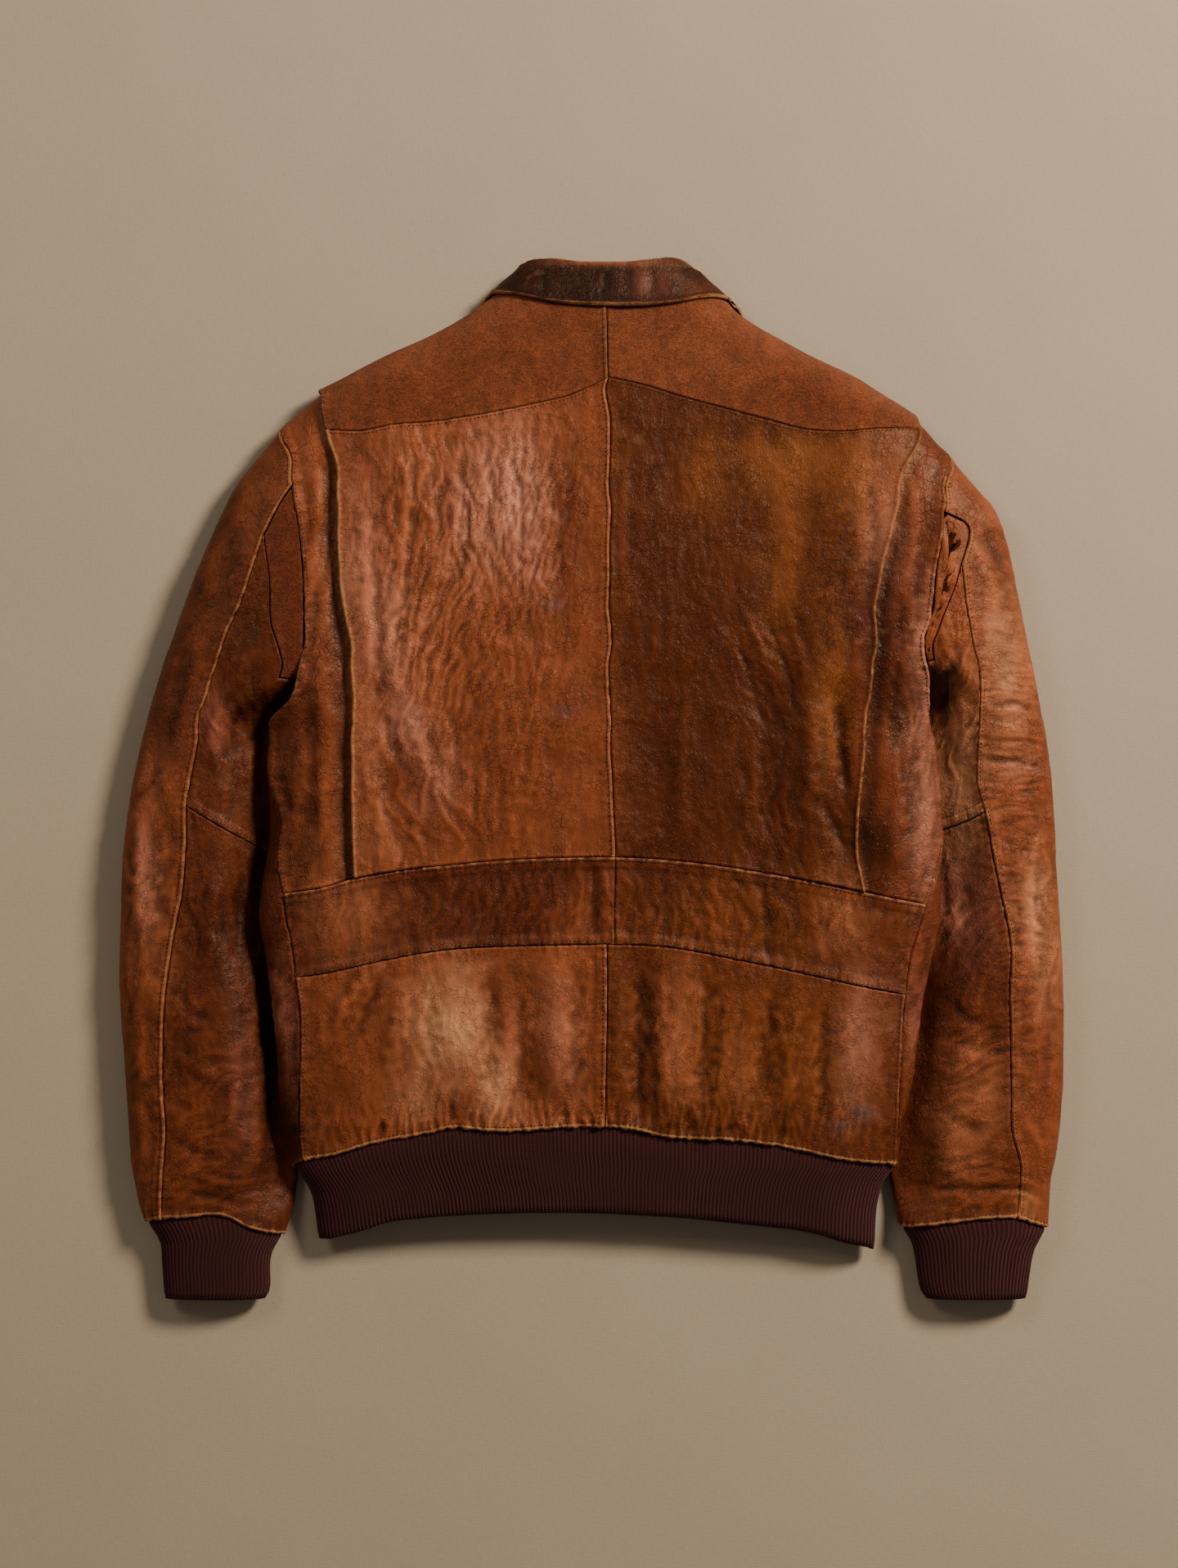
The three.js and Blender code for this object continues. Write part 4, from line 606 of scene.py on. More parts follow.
# A patch: middle x, y, half width, half length, tilt in degrees, tone and strength. Most patches are
# the hide's own uneven tone; the sheen and rose ones are painted highlights, and those noted below are
# painted shadow.
BODY_PATCHES = [
    # left back panel
    (-110, 240, 90, 26, 0, "bright", 0.25), (-56, 210, 22, 50, 8, "painted_sheen", 0.9),
    (-88, 200, 20, 46, 0, "painted_sheen", 0.55), (-18, 190, 13, 95, 0, "deep", 0.85),
    (-172, 242, 16, 16, 0, "deep", 0.7), (-173, 150, 16, 60, 0, "painted_sheen", 0.55),
    (-176, 20, 14, 90, 0, "bright", 0.75), (-140, 110, 24, 60, 10, "bright", 0.5),
    (-150, 100, 14, 60, 4, "painted_sheen", 0.5), (-136, 40, 14, 22, 20, "painted_sheen", 0.7),
    (-142, -2, 16, 18, 0, "deep", 0.7), (-112, 4, 16, 24, 0, "painted_sheen", 0.4),
    (-70, 10, 50, 50, 0, "deep", 0.4), (-90, -46, 50, 14, 0, "deep", 0.25),
    # (-191, 60) is painted shadow in the trough beside the left pleat.
    (-170, -40, 22, 18, 0, "bright", 0.6), (-191, 60, 7, 150, 2, "dark", 0.6),
    # right back panel
    (80, 225, 14, 30, 0, "ochre", 0.45), (50, 60, 18, 160, 0, "dark", 0.2),
    (150, 236, 44, 20, 0, "ochre", 0.8), (143, 175, 15, 62, -5, "ochre", 0.6),
    (174, 62, 11, 52, -4, "ochre", 0.75), (198, 218, 16, 34, 4, "ochre", 0.7),
    (200, 40, 8, 66, 0, "hide", 0.5), (200, 122, 16, 22, 0, "plum", 0.7),
    (140, 16, 15, 44, 0, "dark", 0.75), (16, 20, 9, 230, 0, "hide", 0.35),
    (196, -40, 14, 26, 0, "dark", 0.5),
    # side panels
    (-204, 192, 8, 20, 0, "deep", 0.6), (-212, 90, 14, 60, 0, "painted_rose_sheen", 0.2),
    (-206, 60, 30, 90, 0, "deep", 0.45), (-224, 10, 14, 70, 0, "dark", 0.75),
    (-205, -60, 24, 22, 0, "black", 0.5), (222, 215, 20, 44, 0, "bright", 0.65),
    (216, 180, 14, 30, 0, "painted_sheen", 0.35), (246, 90, 10, 44, 0, "painted_sheen", 0.75),
    # (214, 100) is painted shadow beside the right pleat.
    (214, 100, 10, 60, -6, "dark", 0.8), (245, -30, 11, 50, 0, "painted_sheen", 0.6),
    # (225, 52) is painted shade in a crease.
    (225, 52, 8, 24, 0, "black", 0.75), (216, -50, 14, 24, 0, "black", 0.6),
    # belt
    (120, -102, 90, 30, 0, "ochre", 0.4), (-182, -100, 34, 34, 0, "bright", 0.6),
    (186, -102, 15, 30, 0, "bright", 0.6), (-10, -104, 14, 30, 0, "hide", 0.6),
    (140, -98, 14, 30, 0, "dark", 0.4),
    # lower back
    (120, -205, 110, 60, 0, "ochre", 0.5), (-104, -182, 28, 36, 0, "gold", 0.95),
    (-72, -226, 14, 22, 0, "gold", 0.75), (-71, -164, 10, 28, 0, "deep", 0.8),
    (-24, -190, 16, 40, 6, "painted_sheen", 0.35), (-42, -214, 10, 22, 0, "deep", 0.6),
    (-160, -180, 14, 40, 10, "deep", 0.45), (-130, -235, 16, 18, 0, "gold", 0.4),
    (-192, -228, 14, 24, 0, "deep", 0.6), (-100, -248, 14, 12, 0, "deep", 0.6),
    (62, -190, 14, 44, 0, "bright", 0.8), (106, -216, 12, 30, 8, "bright", 0.45),
    (42, -200, 9, 50, 0, "dark", 0.6), (135, -205, 12, 50, 0, "dark", 0.35),
    (196, -198, 14, 46, -4, "painted_sheen", 0.5), (15, -215, 12, 40, 0, "umber", 0.4),
    (200, -246, 8, 6, 0, "grey", 0.5), (184, -256, 6, 4, 0, "grey", 0.45),
    # side strips
    (-232, -175, 16, 36, 0, "painted_rose_sheen", 0.7), (-226, -250, 14, 40, 0, "black", 0.65),
    (-240, -100, 10, 30, 0, "dark", 0.4), (244, -180, 16, 36, 0, "painted_rose_sheen", 0.65),
    (238, -250, 14, 36, 0, "dark", 0.5),
    # scuffs on the left back panel
    (-30, 130, 8, 5, 0, "grey", 0.35), (-22, 52, 10, 5, 0, "grey", 0.35),
]
YOKE_PATCHES = [
    (-150, 290, 40, 26, 0, "suede_red", 0.55), (-60, 330, 40, 22, 0, "suede", 0.4),
    (-20, 345, 18, 20, 0, "deep", 0.3), (150, 285, 50, 20, 0, "suede_red", 0.5),
    (60, 330, 40, 26, 0, "bright", 0.25), (110, 305, 30, 20, 0, "bright", 0.15),
]
# Here too the sheen and rose patches are painted highlights.
SLEEVE_PATCHES = [
    # left sleeve
    (-272, 150, 36, 80, 0, "umber", 0.8), (-300, 100, 26, 60, 0, "deep", 0.55),
    (-320, 52, 22, 50, 0, "plum", 0.55), (-326, 10, 8, 10, 20, "bright", 0.5),
    (-331, -74, 9, 44, 2, "painted_sheen", 0.6), (-318, -138, 12, 26, 0, "bright", 0.45),
    (-338, -230, 14, 60, 0, "deep", 0.5), (-322, -300, 24, 26, 0, "hide", 0.6),
    # The black patches at (-250, 50), (-243, -200) and (-246, -80) are painted shadow where the sleeve
    # slopes down under the body's edge.
    (-250, 50, 12, 60, 0, "black", 0.4), (-280, 44, 10, 24, 6, "painted_rose_sheen", 0.5),
    (-282, -110, 26, 44, 0, "dark", 0.6), (-260, -160, 14, 50, 0, "dark", 0.7),
    (-262, -230, 10, 50, 0, "painted_rose_sheen", 0.35), (-243, -200, 11, 100, 0, "black", 0.95),
    (-246, -80, 12, 60, 0, "black", 0.9), (-284, -240, 26, 50, 0, "hide", 0.35),
    (-298, -200, 12, 24, 0, "dark", 0.4),
    # right sleeve
    # (298, 172) is painted shade in the fold at the top of the right sleeve.
    (298, 172, 16, 22, 20, "deep", 0.8), (280, 172, 8, 12, 0, "bright", 0.5),
    (306, 84, 14, 50, 0, "gold", 0.45), (322, 92, 14, 34, 0, "bright", 0.5),
    (326, -90, 12, 30, 0, "gold", 0.4), (326, -26, 16, 40, 0, "deep", 0.4),
    (338, -130, 12, 50, 0, "gold", 0.3), (312, 12, 22, 8, 0, "painted_sheen", 0.3),
    (332, -226, 20, 40, 0, "deep", 0.55), (304, -190, 10, 26, 0, "deep", 0.35),
    # (263, 68) is painted shade where the sleeve meets the body's edge at the underarm.
    (263, 68, 9, 22, 0, "black", 0.8), (282, 50, 10, 30, 0, "bright", 0.9),
    (270, -4, 18, 50, 0, "gold", 0.95), (266, -84, 12, 34, 0, "painted_sheen", 0.8),
    (284, -100, 17, 36, 0, "painted_rose_sheen", 0.6), (288, -126, 14, 22, 0, "plum", 0.5),
    (268, -150, 16, 26, 0, "dark", 0.55), (278, -206, 22, 14, 0, "bright", 0.5),
    (270, -262, 18, 40, 0, "bright", 0.65), (296, -242, 14, 26, 0, "bright", 0.65),
    (288, -305, 40, 18, 0, "hide", 0.5), (322, -318, 8, 12, 0, "tan", 0.4),
    # (252, -190) is painted shadow where the sleeve meets the body's edge.
    (252, -190, 6, 80, 0, "black", 0.5),
]
# The rose patch on the collar is a painted highlight.
COLLAR_PATCHES = [
    (42, 370, 16, 16, 12, "painted_rose_sheen", 0.32), (80, 364, 20, 12, 0, "deep", 0.6),
    (15, 386, 50, 3, 0, "bright", 0.5),
]


def toned(x, y, base, patches):
    """Base tone with the patches laid over it, and mottled as drum-dyed hide is. Some patches are
    painted highlights and painted shadow.
    """
    colour = np.broadcast_to(TONES[base], x.shape + (3,)).copy()
    for seed, (cx, cy, half_width, half_length, tilt, tone, strength) in enumerate(patches):
        reach = 2.4 * max(half_width, half_length)
        near = (np.abs(x - cx) < reach) & (np.abs(y - cy) < reach)
        if not near.any():
            continue
        px, py = x[near] - cx, y[near] - cy
        turn = math.radians(tilt)
        along = (px * math.cos(turn) + py * math.sin(turn)) / half_width
        across = (py * math.cos(turn) - px * math.sin(turn)) / half_length
        ragged = 1 + 0.55 * layered(x[near] / 16, y[near] / 16, seed + 300)
        share = strength * np.exp(-(along * along + across * across) * ragged)[:, None]
        colour[near] += (TONES[tone] - colour[near]) * share
    mottle = (layered(x / 36, y / 48, 21, 3) * 0.15 + layered(x / 10, y / 36, 23, 2) * 0.06
              + layered(x / 5, y / 8, 27, 2) * 0.07)
    return colour * (1 + mottle[..., None])


# ---------------------------------------------------------------- sheets of cloth
EDGE_STEPS = np.array([0, 0.5, 1.0, 1.6, 2.3, 3.1, 4.0])  # from a panel's edge, millimetres
SHOWN_SLOPE = 2.5       # a sheet whose normal points up by 1 over this has its whole relief
UNDER_SHARE = 0.45      # share of the relief that sinks in where the sheet faces down
CALM_EDGE = 16          # beside a free edge the relief is calm for this many millimetres
CALM_SHARE = 0.3
PULLED_IN = 1.2         # width of the strip that is pulled back from the seam, millimetres
FRAY = 1.3              # how far a raw lower edge wanders up and down, millimetres
FRAYED_ROWS = (1, 0.8, 0.6, 0.4, 0.25, 0.12)    # share of it on each row of points above
RUBBED_FROM = 0.12      # a crest this much above its surroundings starts to rub
RUBBED_MOST = 0.35
RIB_STEPS = 6           # columns of points on one rib
KNIT_ROWS = 10
RIB_HEIGHT = 0.75       # of a rib above the groove beside it, millimetres
GROOVE_SHADE = 0.45     # brightness in that groove
TUCK = 4.0              # how far the knit goes up under the leather, millimetres
STITCH_LENGTH = 2.2     # millimetres
STITCH_THICK = 0.33     # half the thickness of the thread
STITCH_SIDES = 5
FLOOR_GAP = 0.02        # the lowest that a point may lie


def by_edge(bottom, top, left, right):
    """One value for each edge of a panel."""
    return {"bottom": bottom, "top": top, "left": left, "right": right}


def row_samples(steps, fine, length):
    """Where a row of so many coarse steps is sampled, closer together beside both of its ends."""
    near = EDGE_STEPS * steps / length
    middle = np.linspace(0, steps, steps * fine + 1)
    room = near[-1] + 0.6 / fine
    middle = middle[(middle > room) & (middle < steps - room)]
    return np.concatenate([near, middle, steps - near[::-1]])


def follow(runs, samples):
    """Places along runs that meet end to end, at sample values counted in coarse steps."""
    places = np.zeros((len(samples), 2))
    start = 0
    for run in runs:
        steps = len(run) - 1
        inside = (samples >= start - 1e-9) & (samples <= start + steps + 1e-9)
        for k in (0, 1):
            curve = through([[i, place[k]] for i, place in enumerate(run)])
            places[inside, k] = curve(samples[inside] - start)
        start += steps
    return places


def steps_of(runs):
    return sum(len(run) - 1 for run in runs)


def fill_between(bottom, top, left, right):
    """Grid of places between four rows of places that share their corners."""
    u = np.linspace(0, 1, len(bottom))[None, :, None]
    v = np.linspace(0, 1, len(left))[:, None, None]
    return fill_at(np.array(bottom), np.array(top), np.array(left), np.array(right), u, v)


def fill_at(bottom, top, left, right, u, v):
    """The same fill, at chosen shares u across and v along."""
    flat = (1 - v) * ((1 - u) * bottom[0] + u * bottom[-1]) + v * ((1 - u) * top[0] + u * top[-1])
    return bottom[None] * (1 - v) + top[None] * v + left[:, None] * (1 - u) + right[:, None] * u - flat


def blurred(values, passes=5):
    """The average round each cell of a grid."""
    for _ in range(passes):
        for axis in (0, 1):
            first, last = np.take(values, [0], axis), np.take(values, [-1], axis)
            wide = np.concatenate([first, values, last], axis)
            size = values.shape[axis]
            shifted = [np.take(wide, range(k, k + size), axis) for k in range(3)]
            values = (shifted[0] + shifted[1] + shifted[2]) / 3
    return values


# How a panel's edge is finished: wear, width of the worn line, height of its rolled ridge, depth
# of the dip at the seam, height of its puckers, and height of the seam allowance under it.
EDGES = {
    "hidden": (0.0, 1.3, 0.0, 0.0, 0.0, 0.0),
    "seam": (0.40, 1.3, 0.2, 0.7, 0.5, 0.0),
    "topstitched": (0.75, 1.5, 0.5, 0.4, 0.9, 0.9),
    "rolled": (0.80, 1.4, 0.9, 0.5, 0.6, 0.5),
    "piped": (1.25, 1.4, 1.4, 0.4, 0.3, 0.0),
    "free": (0.95, 1.2, 1.2, 0.3, 0.3, 0.0),
    "turned": (1.15, 2.3, 1.0, 0.2, 0.3, 0.0),
    "frayed": (1.30, 3.0, 0.8, 0.5, 1.5, 0.3),
}
INWARDS = by_edge((0, 1), (0, -1), (1, 1), (1, -1))    # the grid's axis and sense, in from each edge
PIECES = {}     # each panel's face, normals and distances from its edges


def edge_distances(points):
    """How far each point of a grid is from the four edges, along the cloth, and along each edge."""
    across = np.linalg.norm(np.diff(points, axis=1), axis=-1)
    along = np.linalg.norm(np.diff(points, axis=0), axis=-1)
    from_left = np.concatenate([np.zeros((len(points), 1)), np.cumsum(across, 1)], 1)
    from_bottom = np.concatenate([np.zeros((1, points.shape[1])), np.cumsum(along, 0)], 0)
    return by_edge((from_bottom, from_left), (from_bottom[-1:] - from_bottom, from_left),
                   (from_left, from_bottom), (from_left[:, -1:] - from_left, from_bottom))


def edge_relief(distances, edges):
    """Height and wear that the finished edges add."""
    height, wear = 0.0, 0.0
    for seed, (edge, (away, along)) in enumerate(sorted(distances.items())):
        scuff, band, ridge, dip, pucker, allowance = EDGES[edges[edge]]
        uneven = noise(along / 7, away * 0 + seed, 51 + seed)
        height = height + ridge * np.exp(-((away - 1.7) / 1.3) ** 2) - dip * np.exp(-(away / 1.0) ** 2)
        height = height + allowance * (1 - smooth_rise(away, 5.5, 3.5))
        height = height + pucker * noise(along / 3.4, away / 26, 61 + seed) * np.exp(-(away / 9) ** 2)
        rubbed = np.clip(0.75 + 0.6 * uneven + 0.3 * noise(along / 1.9, away, 81 + seed), 0, 1.3)
        wear = wear + scuff * rubbed * np.exp(-(away / band) ** 2) + scuff * 0.10 * np.exp(-away / 7)
    return height, wear


def fray_lower_edge(points):
    """Moves the lower edge's points up and down unevenly, as worn raw leather is."""
    along = run_along(points[0])
    rag = layered(along / 5, along * 0 + 7, 91, 3) * FRAY
    for row, share in enumerate(FRAYED_ROWS):
        points[row, :, 1] += rag * share


def placed(points):
    """Millimetres on the cutting table as metres in the frame."""
    return (points - [*OUTLINE_CENTRE, 0]) / 1000


def add_object(name, data):
    """An object of its own in the scene, for a mesh, a light or a camera."""
    made = bpy.data.objects.new(name, data)
    bpy.context.scene.collection.objects.link(made)
    return made


def shell(name, face, back, closed, attributes):
    """One closed mesh from the two layers of a sheet, with its attributes on both."""
    rows, columns = face.shape[:2]
    index = np.arange(rows * columns).reshape(rows, columns)
    if closed:
        index = np.concatenate([index, index[:, :1]], 1)
    a, b, c, d = index[:-1, :-1], index[:-1, 1:], index[1:, 1:], index[1:, :-1]
    layer = rows * columns
    quads = [np.stack([a, b, c, d], -1).reshape(-1, 4),
             np.stack([a, d, c, b], -1).reshape(-1, 4) + layer]

    def rim(line):
        start, end = line[:-1], line[1:]
        quads.append(np.stack([end, start, start + layer, end + layer], -1))

    rim(index[0])
    rim(index[-1, ::-1])
    if not closed:
        rim(index[::-1, 0])
        rim(index[:, -1])
    quads = np.concatenate(quads)
    points = np.concatenate([face.reshape(-1, 3), back.reshape(-1, 3)])
    points[:, 2] = np.maximum(points[:, 2], FLOOR_GAP)
    first, second, third, fourth = (points[quads[:, k]] for k in range(4))
    if np.sum(first * np.cross(second, third)) + np.sum(first * np.cross(third, fourth)) < 0:
        quads = quads[:, ::-1]
    mesh = bpy.data.meshes.new(name)
    mesh.vertices.add(len(points))
    mesh.vertices.foreach_set("co", placed(points).ravel())
    mesh.loops.add(quads.size)
    mesh.loops.foreach_set("vertex_index", quads.ravel().astype(np.int32))
    mesh.polygons.add(len(quads))
    mesh.polygons.foreach_set("loop_start", np.arange(0, quads.size, 4, dtype=np.int32))
    mesh.polygons.foreach_set("use_smooth", np.ones(len(quads), bool))
    mesh.update(calc_edges=True)
    for key, values in attributes.items():
        both = np.concatenate([values.reshape(layer, -1)] * 2)
        if both.shape[1] == 1:
            mesh.attributes.new(key, "FLOAT", "POINT").data.foreach_set("value", both.ravel())
        else:
            colour = np.concatenate([both, np.ones((len(both), 1))], 1)
            mesh.attributes.new(key, "FLOAT_COLOR", "POINT").data.foreach_set("color", colour.ravel())
    return add_object(name, mesh)


def finish_sheet(piece, slot, material, node):
    """Gives a sheet its material, hangs it under the root and hides the CAD node that it stands for;
    its flat size is looked up but not used.
    """
    piece.data.materials.append(material)
    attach(piece, "root")
    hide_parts(node)
    width, length, share = FLAT_SIZES[node.removesuffix("_left").removesuffix("_right")]


def add_panel(name, surface, outline, fine, edges, relief, tone, material, lift=None,
              inset=SEAM_INSET, slot="hide"):
    """A panel of leather from its four edges, each a list of runs of coarse places.

    fine is how many steps a coarse step is cut into, across and along, and tone is the base tone
    with the list of patches over it, some of them painted highlights and painted shadow.
    """
    bottom, top, left, right = (outline[key] for key in ("bottom", "top", "left", "right"))

    def length(runs):
        points = surface(*np.array([place for run in runs for place in run], float).T)[0]
        return np.linalg.norm(np.diff(points, axis=0), axis=1).sum()

    wide = row_samples(steps_of(bottom), fine[0], (length(bottom) + length(top)) / 2)
    tall = row_samples(steps_of(left), fine[1], (length(left) + length(right)) / 2)
    places = fill_at(follow(bottom, wide), follow(top, wide), follow(left, tall), follow(right, tall),
                     (wide / wide[-1])[None, :, None], (tall / tall[-1])[:, None, None])
    points, normals = surface(places[..., 0], places[..., 1])
    if lift is not None:
        points = points + normals * lift(points)[..., None]
    distances = edge_distances(points)
    edge_height, wear = edge_relief(distances, edges)
    up = np.clip(normals[..., 2] * SHOWN_SLOPE, 0, 1)
    x, y = points[..., 0], points[..., 1]
    own = relief(x, y)
    for edge, (away, _) in distances.items():
        if edges[edge] in ("free", "turned"):
            own = own * (CALM_SHARE + (1 - CALM_SHARE) * smooth_rise(away, 0, CALM_EDGE))
    sizes = bpy.context.scene.jacket
    height = (own * up - np.abs(own) * UNDER_SHARE * (1 - up)) * sizes.crease_depth + edge_height * up
    face = points + normals * height[..., None]
    if edges["bottom"] == "frayed":
        fray_lower_edge(face)
    for edge, (axis, sign) in INWARDS.items():
        pull = (1 - smooth_rise(distances[edge][0], 0, PULLED_IN))[..., None]
        towards = np.gradient(points, axis=axis) * sign
        towards /= np.maximum(np.linalg.norm(towards, axis=-1, keepdims=True), 1e-9)
        face = face + towards * pull * inset
    crest = height - blurred(height)
    worn = np.clip(wear + np.clip(crest - RUBBED_FROM, 0, RUBBED_MOST) * 0.9 * up, 0, 1.6)
    base, patches = tone
    colour = toned(x, y, base, patches)
    # Painted light and shade: the relief's crests are painted lighter and its creases darker, where
    # the sheet faces up.
    colour *= (1 + np.clip(crest * 0.75, -0.5, 0.4) * up)[..., None]
    back = face - normals * LEATHER
    piece = shell(f"{name}_cloth", face, back, False, {"tone": colour.clip(0, 1), "wear": worn})
    PIECES[name] = {"points": face, "normals": normals, "distances": distances}
    finish_sheet(piece, slot, material, name)


def add_knit(name, surface, bottom, top, closed):
    """A band of ribbed knit between two rows of places, tucked a little under the leather."""
    steps = steps_of(top)
    rough = np.linspace(0, steps, steps * 12 + 1)
    upper_places, lower_places = follow(top, rough), follow(bottom, rough)
    middle = surface(*((upper_places + lower_places) / 2).T)[0]
    run = run_along(middle)
    count = RIB_STEPS * round(run[-1] / (bpy.context.scene.jacket.rib_pitch * 1000))
    even = np.interp(np.linspace(0, run[-1], count + 1), run, rough)
    if closed:
        even = even[:-1]
    rib = np.arange(len(even)) / RIB_STEPS
    upper_places, lower_places = follow(top, even), follow(bottom, even)
    rise = np.linspace(0, 1, KNIT_ROWS + 1)[:, None]
    places = lower_places[None] + (upper_places - lower_places)[None] * rise[..., None]
    places[..., 1] += TUCK * smooth_rise(rise, 0.80, 0.2)
    points, normals = surface(places[..., 0], places[..., 1])
    distances = edge_distances(points)
    down = distances["top"][0]
    x, y = points[..., 0], points[..., 1]
    profile = np.abs(np.cos(math.pi * rib)) ** 0.7
    rolled = 0.8 * np.exp(-(distances["bottom"][0] / 3) ** 2)
    wavy = layered(x / 60, y / 40, 33, 2) * 0.7
    height = RIB_HEIGHT * profile[None] - 0.6 + wavy * np.clip(normals[..., 2] * 2, 0, 1) - rolled
    sunk = -(LEATHER + 0.5) * (1 - smooth_rise(down, TUCK, 7))
    face = points + normals * (np.minimum(height, 0.3) + sunk)[..., None]
    back = face - normals * KNIT
    shade = np.broadcast_to(profile[None], x.shape)
    fade = 1 + layered(x / 50, y / 30, 37, 2) * 0.10
    colour = TONES["knit"] * (GROOVE_SHADE + 0.75 * shade * fade)[..., None]
    place = np.stack([np.broadcast_to(rib[None], x.shape) % 1, down / 10, shade], -1)
    piece = shell(f"{name}_cloth", face, back, closed, {"tone": colour.clip(0, 1), "stitch": place})
    finish_sheet(piece, "knit", finishes()["knit"], name)


def line_beside(name, edge, away):
    """The line on a piece's face at one distance from an edge, and the normals along it."""
    piece = PIECES[name]
    points, normals = piece["points"], piece["normals"]
    far = piece["distances"][edge][0]
    if edge in ("left", "right"):
        points, normals, far = (np.swapaxes(v, 0, 1) for v in (points, normals, far))
    if edge in ("right", "top"):
        points, normals, far = points[::-1], normals[::-1], far[::-1]

    def at(values):
        return np.array([[np.interp(away, far[:, i], values[:, i, k]) for k in range(3)]
                         for i in range(far.shape[1])])

    return at(points), at(normals)


def stitches_along(line, normals, pitch):
    """Corners and faces of the stitches along one line. A stitch is a short bar with pointed ends."""
    run = run_along(line)
    count = int((run[-1] - 3) / pitch)
    starts = 1.5 + pitch * np.arange(count)
    sample = [np.stack([np.interp(starts + shift, run, line[:, k]) for k in range(3)], -1)
              for shift in (0, STITCH_LENGTH)]
    up = np.stack([np.interp(starts, run, normals[:, k]) for k in range(3)], -1)
    along = sample[1] - sample[0]
    along /= np.maximum(np.linalg.norm(along, axis=1, keepdims=True), 1e-9)
    side = np.cross(up, along)
    side /= np.maximum(np.linalg.norm(side, axis=1, keepdims=True), 1e-9)
    rings = []
    for share, grow, rise in ((0, 0, -0.2), (0.22, 1, 0.1), (0.78, 1, 0.1), (1, 0, -0.2)):
        centre = sample[0] + (sample[1] - sample[0]) * share + up * rise
        for k in range(STITCH_SIDES if grow else 1):
            angle = 2 * math.pi * k / STITCH_SIDES
            spoke = side * math.cos(angle) + up * math.sin(angle) * 0.8
            rings.append(centre + spoke * STITCH_THICK * grow)
    corners = np.stack(rings, 1)
    faces, ring, tip = [], 1 + STITCH_SIDES, 1 + 2 * STITCH_SIDES
    for k in range(STITCH_SIDES):
        n = (k + 1) % STITCH_SIDES
        faces += [[0, 1 + n, 1 + k], [1 + k, 1 + n, ring + n], [1 + k, ring + n, ring + k],
                  [tip, ring + k, ring + n]]
    faces = np.array(faces)[None] + (np.arange(count) * (tip + 1))[:, None, None]
    return corners.reshape(-1, 3), faces.reshape(-1, 3)


def add_stitches(name, lines, material):
    """All the stitches of one group of seams, as one piece."""
    pitch = bpy.context.scene.jacket.stitch_pitch * 1000
    corners, faces, total = [], [], 0
    for line, normals in lines:
        made, joined = stitches_along(line, normals, pitch)
        corners.append(made)
        faces.append(joined + total)
        total += len(made)
    points = placed(np.concatenate(corners))
    mesh = bpy.data.meshes.new(name)
    mesh.from_pydata(points.tolist(), [], np.concatenate(faces).tolist())
    mesh.update()
    mesh.materials.append(material)
    piece = add_object(name, mesh)
    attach(piece, "root")
    return piece


# ---------------------------------------------------------------- outlines of the pieces
# Coarse steps across and along the pieces.
ACROSS_BACK = 8
ACROSS_SIDE = 2
ROWS_BACK = 12
ROWS_BELT = 2
ROWS_LOWER = 5
ROWS_UPPER_SLEEVE = 8
ROWS_LOWER_SLEEVE = 9
ACROSS_UNDER_SLEEVE = 7
NECK_FRONT = 292      # y of the neck's lowest point, in front
TIP_SHARE = 0.14      # the gusset's blunt tip is this wide beside its mid point
FRONT_SHARES = [0, 0.1, 0.24, 0.42, 0.68]        # of the front hem, from the side fold to the lap
OUTER_SHARES = [0, 0.08, 0.19, 0.32, 0.56, 1]    # of the cuff seam, round the outer fold


def end_row(start, end, steps=3):
    """Points in equal steps from start to end."""
    return [(start[0] + (end[0] - start[0]) * t, start[1] + (end[1] - start[1]) * t)
            for t in between(0, 1, steps)]


def up_seam(pairs, heights):
    """Points of a seam given as [y, x] pairs, at some heights."""
    x_at = through(pairs)
    return [(float(x_at(y)), y) for y in heights]


def across_seam(pairs, start, end, count):
    """Points of a seam given as [x, y] pairs, between two x."""
    y_at = through(pairs)
    return [(x, float(y_at(x))) for x in between(start, end, count)]


def on_body(points):
    """Places on the upper side of the body, of plan points."""
    return [(body_turn(point), point[1]) for point in points]


def under_body(points, fold):
    """Places on the body's underside, reached round its left fold, 0, or its right one, 1."""
    return [(2 * fold - body_turn(point), point[1]) for point in points]


def front_hem(x):
    """y of the hem underneath."""
    return -264 - HEM_DIP * ((x - CENTRE_FRONT) / 215) ** 2


def settled(start, step):
    """The value that a step leads back to, after a few passes."""
    value = start
    for _ in range(8):
        value = step(value)
    return float(value)


def x_of(tube, turn, y):
    return float(tube(np.array(turn, float), np.array(y, float))[0])


def meet(pairs_up, pairs_across, start):
    """Where a seam that runs up meets one that runs across."""
    x_at, y_at = through(pairs_up), through(pairs_across)
    y = settled(start, lambda value: y_at(x_at(value)))
    return float(x_at(y)), y


